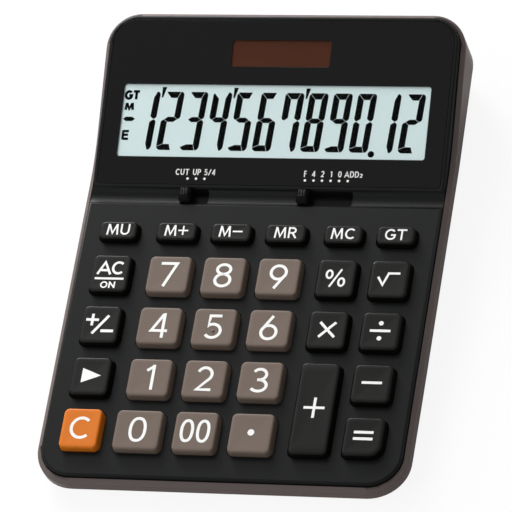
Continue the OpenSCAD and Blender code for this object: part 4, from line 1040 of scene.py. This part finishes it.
solar_brown = material("solar_brown", lambda place: {
    "Base Color": mix(noise(place, 9), rgb("#4b2818"), rgb("#532c1a")),
    "Roughness": 0.3 + noise(place, 0.3) * 0.1,
    "Height": noise(place, 0.2), "Depth": 0.002}, **{SPECULAR: 0.04})
dress("solar_cell", solar_brown)
SOLAR_GLASS = (36.1, 10.5, 0, 48.05)
glass("solar_front_glass", SOLAR_GLASS, GLASS_TOP, GLASS_THICK, solar_brown, "solar_glass")
LEAD_BLACK, LEAD_RED = "#1c1c1e", "#a52c26"
dress("solar_wires", two_leads("solar_leads", 0, LEAD_BLACK, LEAD_RED))

# ---------------------------- display panel
# The panel is cut from clear acrylic and printed black underneath, with two windows left
# bare. It lies in its recess, and the switch scales are printed on it in white.

PANEL_THICK = 1.5
PANEL_EDGE = 0.08
PANEL_FRONT_CORNER, PANEL_BACK_CORNER = 1.4, 7.9
WINDOW_SLOPE, WALL_WITHIN = 0.65, 0.2
DISPLAY_WINDOW = (109.6, 26.4, -0.2, 23.25)
SOLAR_WINDOW = (35.3, 9.7, 0, 48.05)
PANE_PLAY, PANE_THICK = 0.05, 0.4

panel_high = box_in(panel, cad_points("display_panel"))[1]
panel_print = moulded("panel_black", "#0e0e0e", 0.1, grain=4, depth=0.0005, cloud=30, spread=0.1,
                      **{SPECULAR: 0.12})
outline = corners(-panel_high.x, PANEL_PLAY, panel_high.x, panel_high.y,
                  [PANEL_FRONT_CORNER] * 2 + [PANEL_BACK_CORNER] * 2, 12)
mesh = plate("panel_sheet", [outline, window(*DISPLAY_WINDOW)[::-1], window(*SOLAR_WINDOW)[::-1]],
             PANEL_THICK, PANEL_EDGE)
# The walls of the windows slope away underneath, so that only the printed face frames them
for wide, tall, x, y in (DISPLAY_WINDOW, SOLAR_WINDOW):
    for vert in mesh.vertices:
        if (abs(vert.co.x - x) < wide / 2 + WALL_WITHIN
                and abs(vert.co.y - y) < tall / 2 + WALL_WITHIN
                and vert.co.z < -PANEL_EDGE * 1.01):
            vert.co.x += math.copysign(WINDOW_SLOPE, vert.co.x - x)
            vert.co.y += math.copysign(WINDOW_SLOPE, vert.co.y - y)
mesh.transform(panel)
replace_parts(add_piece("panel_sheet", mesh, "housing", panel_print, "black_panel"), "display_panel")

pane_clear = material("pane_clear", lambda place: {
    "Base Color": mix(noise(place, 12), rgb("#101414"), rgb("#161a1a")),
    "Roughness": 0.04 + noise(place, 6) * 0.03}, Alpha=0.04)
for name, (wide, tall, x, y) in (("display_pane", DISPLAY_WINDOW), ("solar_pane", SOLAR_WINDOW)):
    size = (wide - 2 * PANE_PLAY, tall - 2 * PANE_PLAY, x, y)
    glass(name, size, 0, PANE_THICK, pane_clear, "black_panel")

SCALE_CAP, SCALE_LINE, SCALE_Y = 2.2, 0.34, 4.55
SMALL_CAP, SMALL_LINE = 1.4, 0.32
SCALE_DOT, SCALE_DOT_Y = 0.9, 2.17
scale = Print(lambda x, y: 0.0)
for text, x in (("CUT", -30.55), ("UP", -25.35), ("5/4", -20.7), ("F", 13.4), ("4", 16.3),
                ("2", 19.45), ("1", 22.45), ("0", 25.55), ("ADD", 29.75)):
    scale.write(text, x, SCALE_Y, SCALE_CAP, SCALE_LINE, 0.12, 0.75)
scale.write("2", 33.1, SCALE_Y - 0.4, SMALL_CAP, SMALL_LINE)
for x in (-28.45, -25.4, -22.4, 13.4, 16.45, 19.45, 22.5, 25.5, 28.55):
    scale.dot(x, SCALE_DOT_Y, SCALE_DOT)
add_piece("switch_scales", scale.mesh("switch_scales", panel), "housing", white_ink)

# ---------------------------- rear case
# The lower moulding is taupe ABS: a tray with sloped sides, a ridge all round and a narrow
# ledge on which the front case sits. Six screws from below hold the two cases together.

case_taupe = moulded("case_taupe", "#625856", 0.45, **{SPECULAR: 0.12})
smooth_copy("rear_case", "rear_shell", "housing", case_taupe, "taupe_case")
turned("case_screw_set", screw_tree, deck, "case_screws", CASE_SCREW, screw_zinc, "screw_steel")

# ---------------------------- battery
# A button cell keeps the memory. It lies in a pocket of the tray between two sprung brass
# leaves, under a small cover with finger grooves that one screw holds.

COVER_SCREW = {"Head": 3.6, "Head Height": 0.7, "Shank": 2.0, "Length": 5.7}
LEAD_SPLIT = 3
DESK_FRAME = Matrix.Scale(MM, 4)
cell_bright = moulded("cell_bright", "#c3c4c6", 0.22, grain=0.8, depth=0.002, cloud=5,
                      Metallic=1.0)
for node in ("battery_contact_positive", "battery_contact_negative"):
    dress(node, brush_brass)
dress("battery_cell", cell_bright)
cell_low, cell_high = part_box("battery_cell")
split = (cell_low[0] + cell_high[0]) / 2 / MM + LEAD_SPLIT
dress("battery_wires", two_leads("battery_leads", split, LEAD_RED, LEAD_BLACK))
dress("battery_cover", case_taupe)
turned("cover_screw", screw_tree, DESK_FRAME, "battery_cover_screw", COVER_SCREW, screw_zinc,
       "screw_steel")

# ---------------------------- feet
# Four black rubber discs are glued into round recesses of the base. Their lower edge is
# rounded, and a shallow dish in the sole gives them grip.

DISH_FLAT, DISH_RIM = 0.62, 0.7


def foot_profile(size):
    """Rings of a foot from the middle of its sole to the middle of its glued face."""
    radius, edge, dish = size["Diameter"] / 2, size["Edge"], size["Dish"]
    rings = [(0.0, dish), (radius * DISH_FLAT, dish), (radius * DISH_RIM, 0.0),
             (radius - edge, 0.0)]
    for turn in (30, 60, 90):
        a = math.radians(turn)
        rings.append((radius - edge * (1 - math.sin(a)), edge * (1 - math.cos(a))))
    return rings + [(radius, size["Height"]), (0.0, size["Height"])]


foot_tree = turned_tree(
    "rubber_foot", {"Diameter": 10.0, "Height": 1.75, "Edge": 0.4, "Dish": 0.3}, foot_profile)
foot_rubber = moulded("foot_rubber", "#232323", 0.75, grain=0.5, depth=0.02, cloud=3)
turned("foot_set", foot_tree, DESK_FRAME, "rubber_feet", {}, foot_rubber, "foot_rubber")
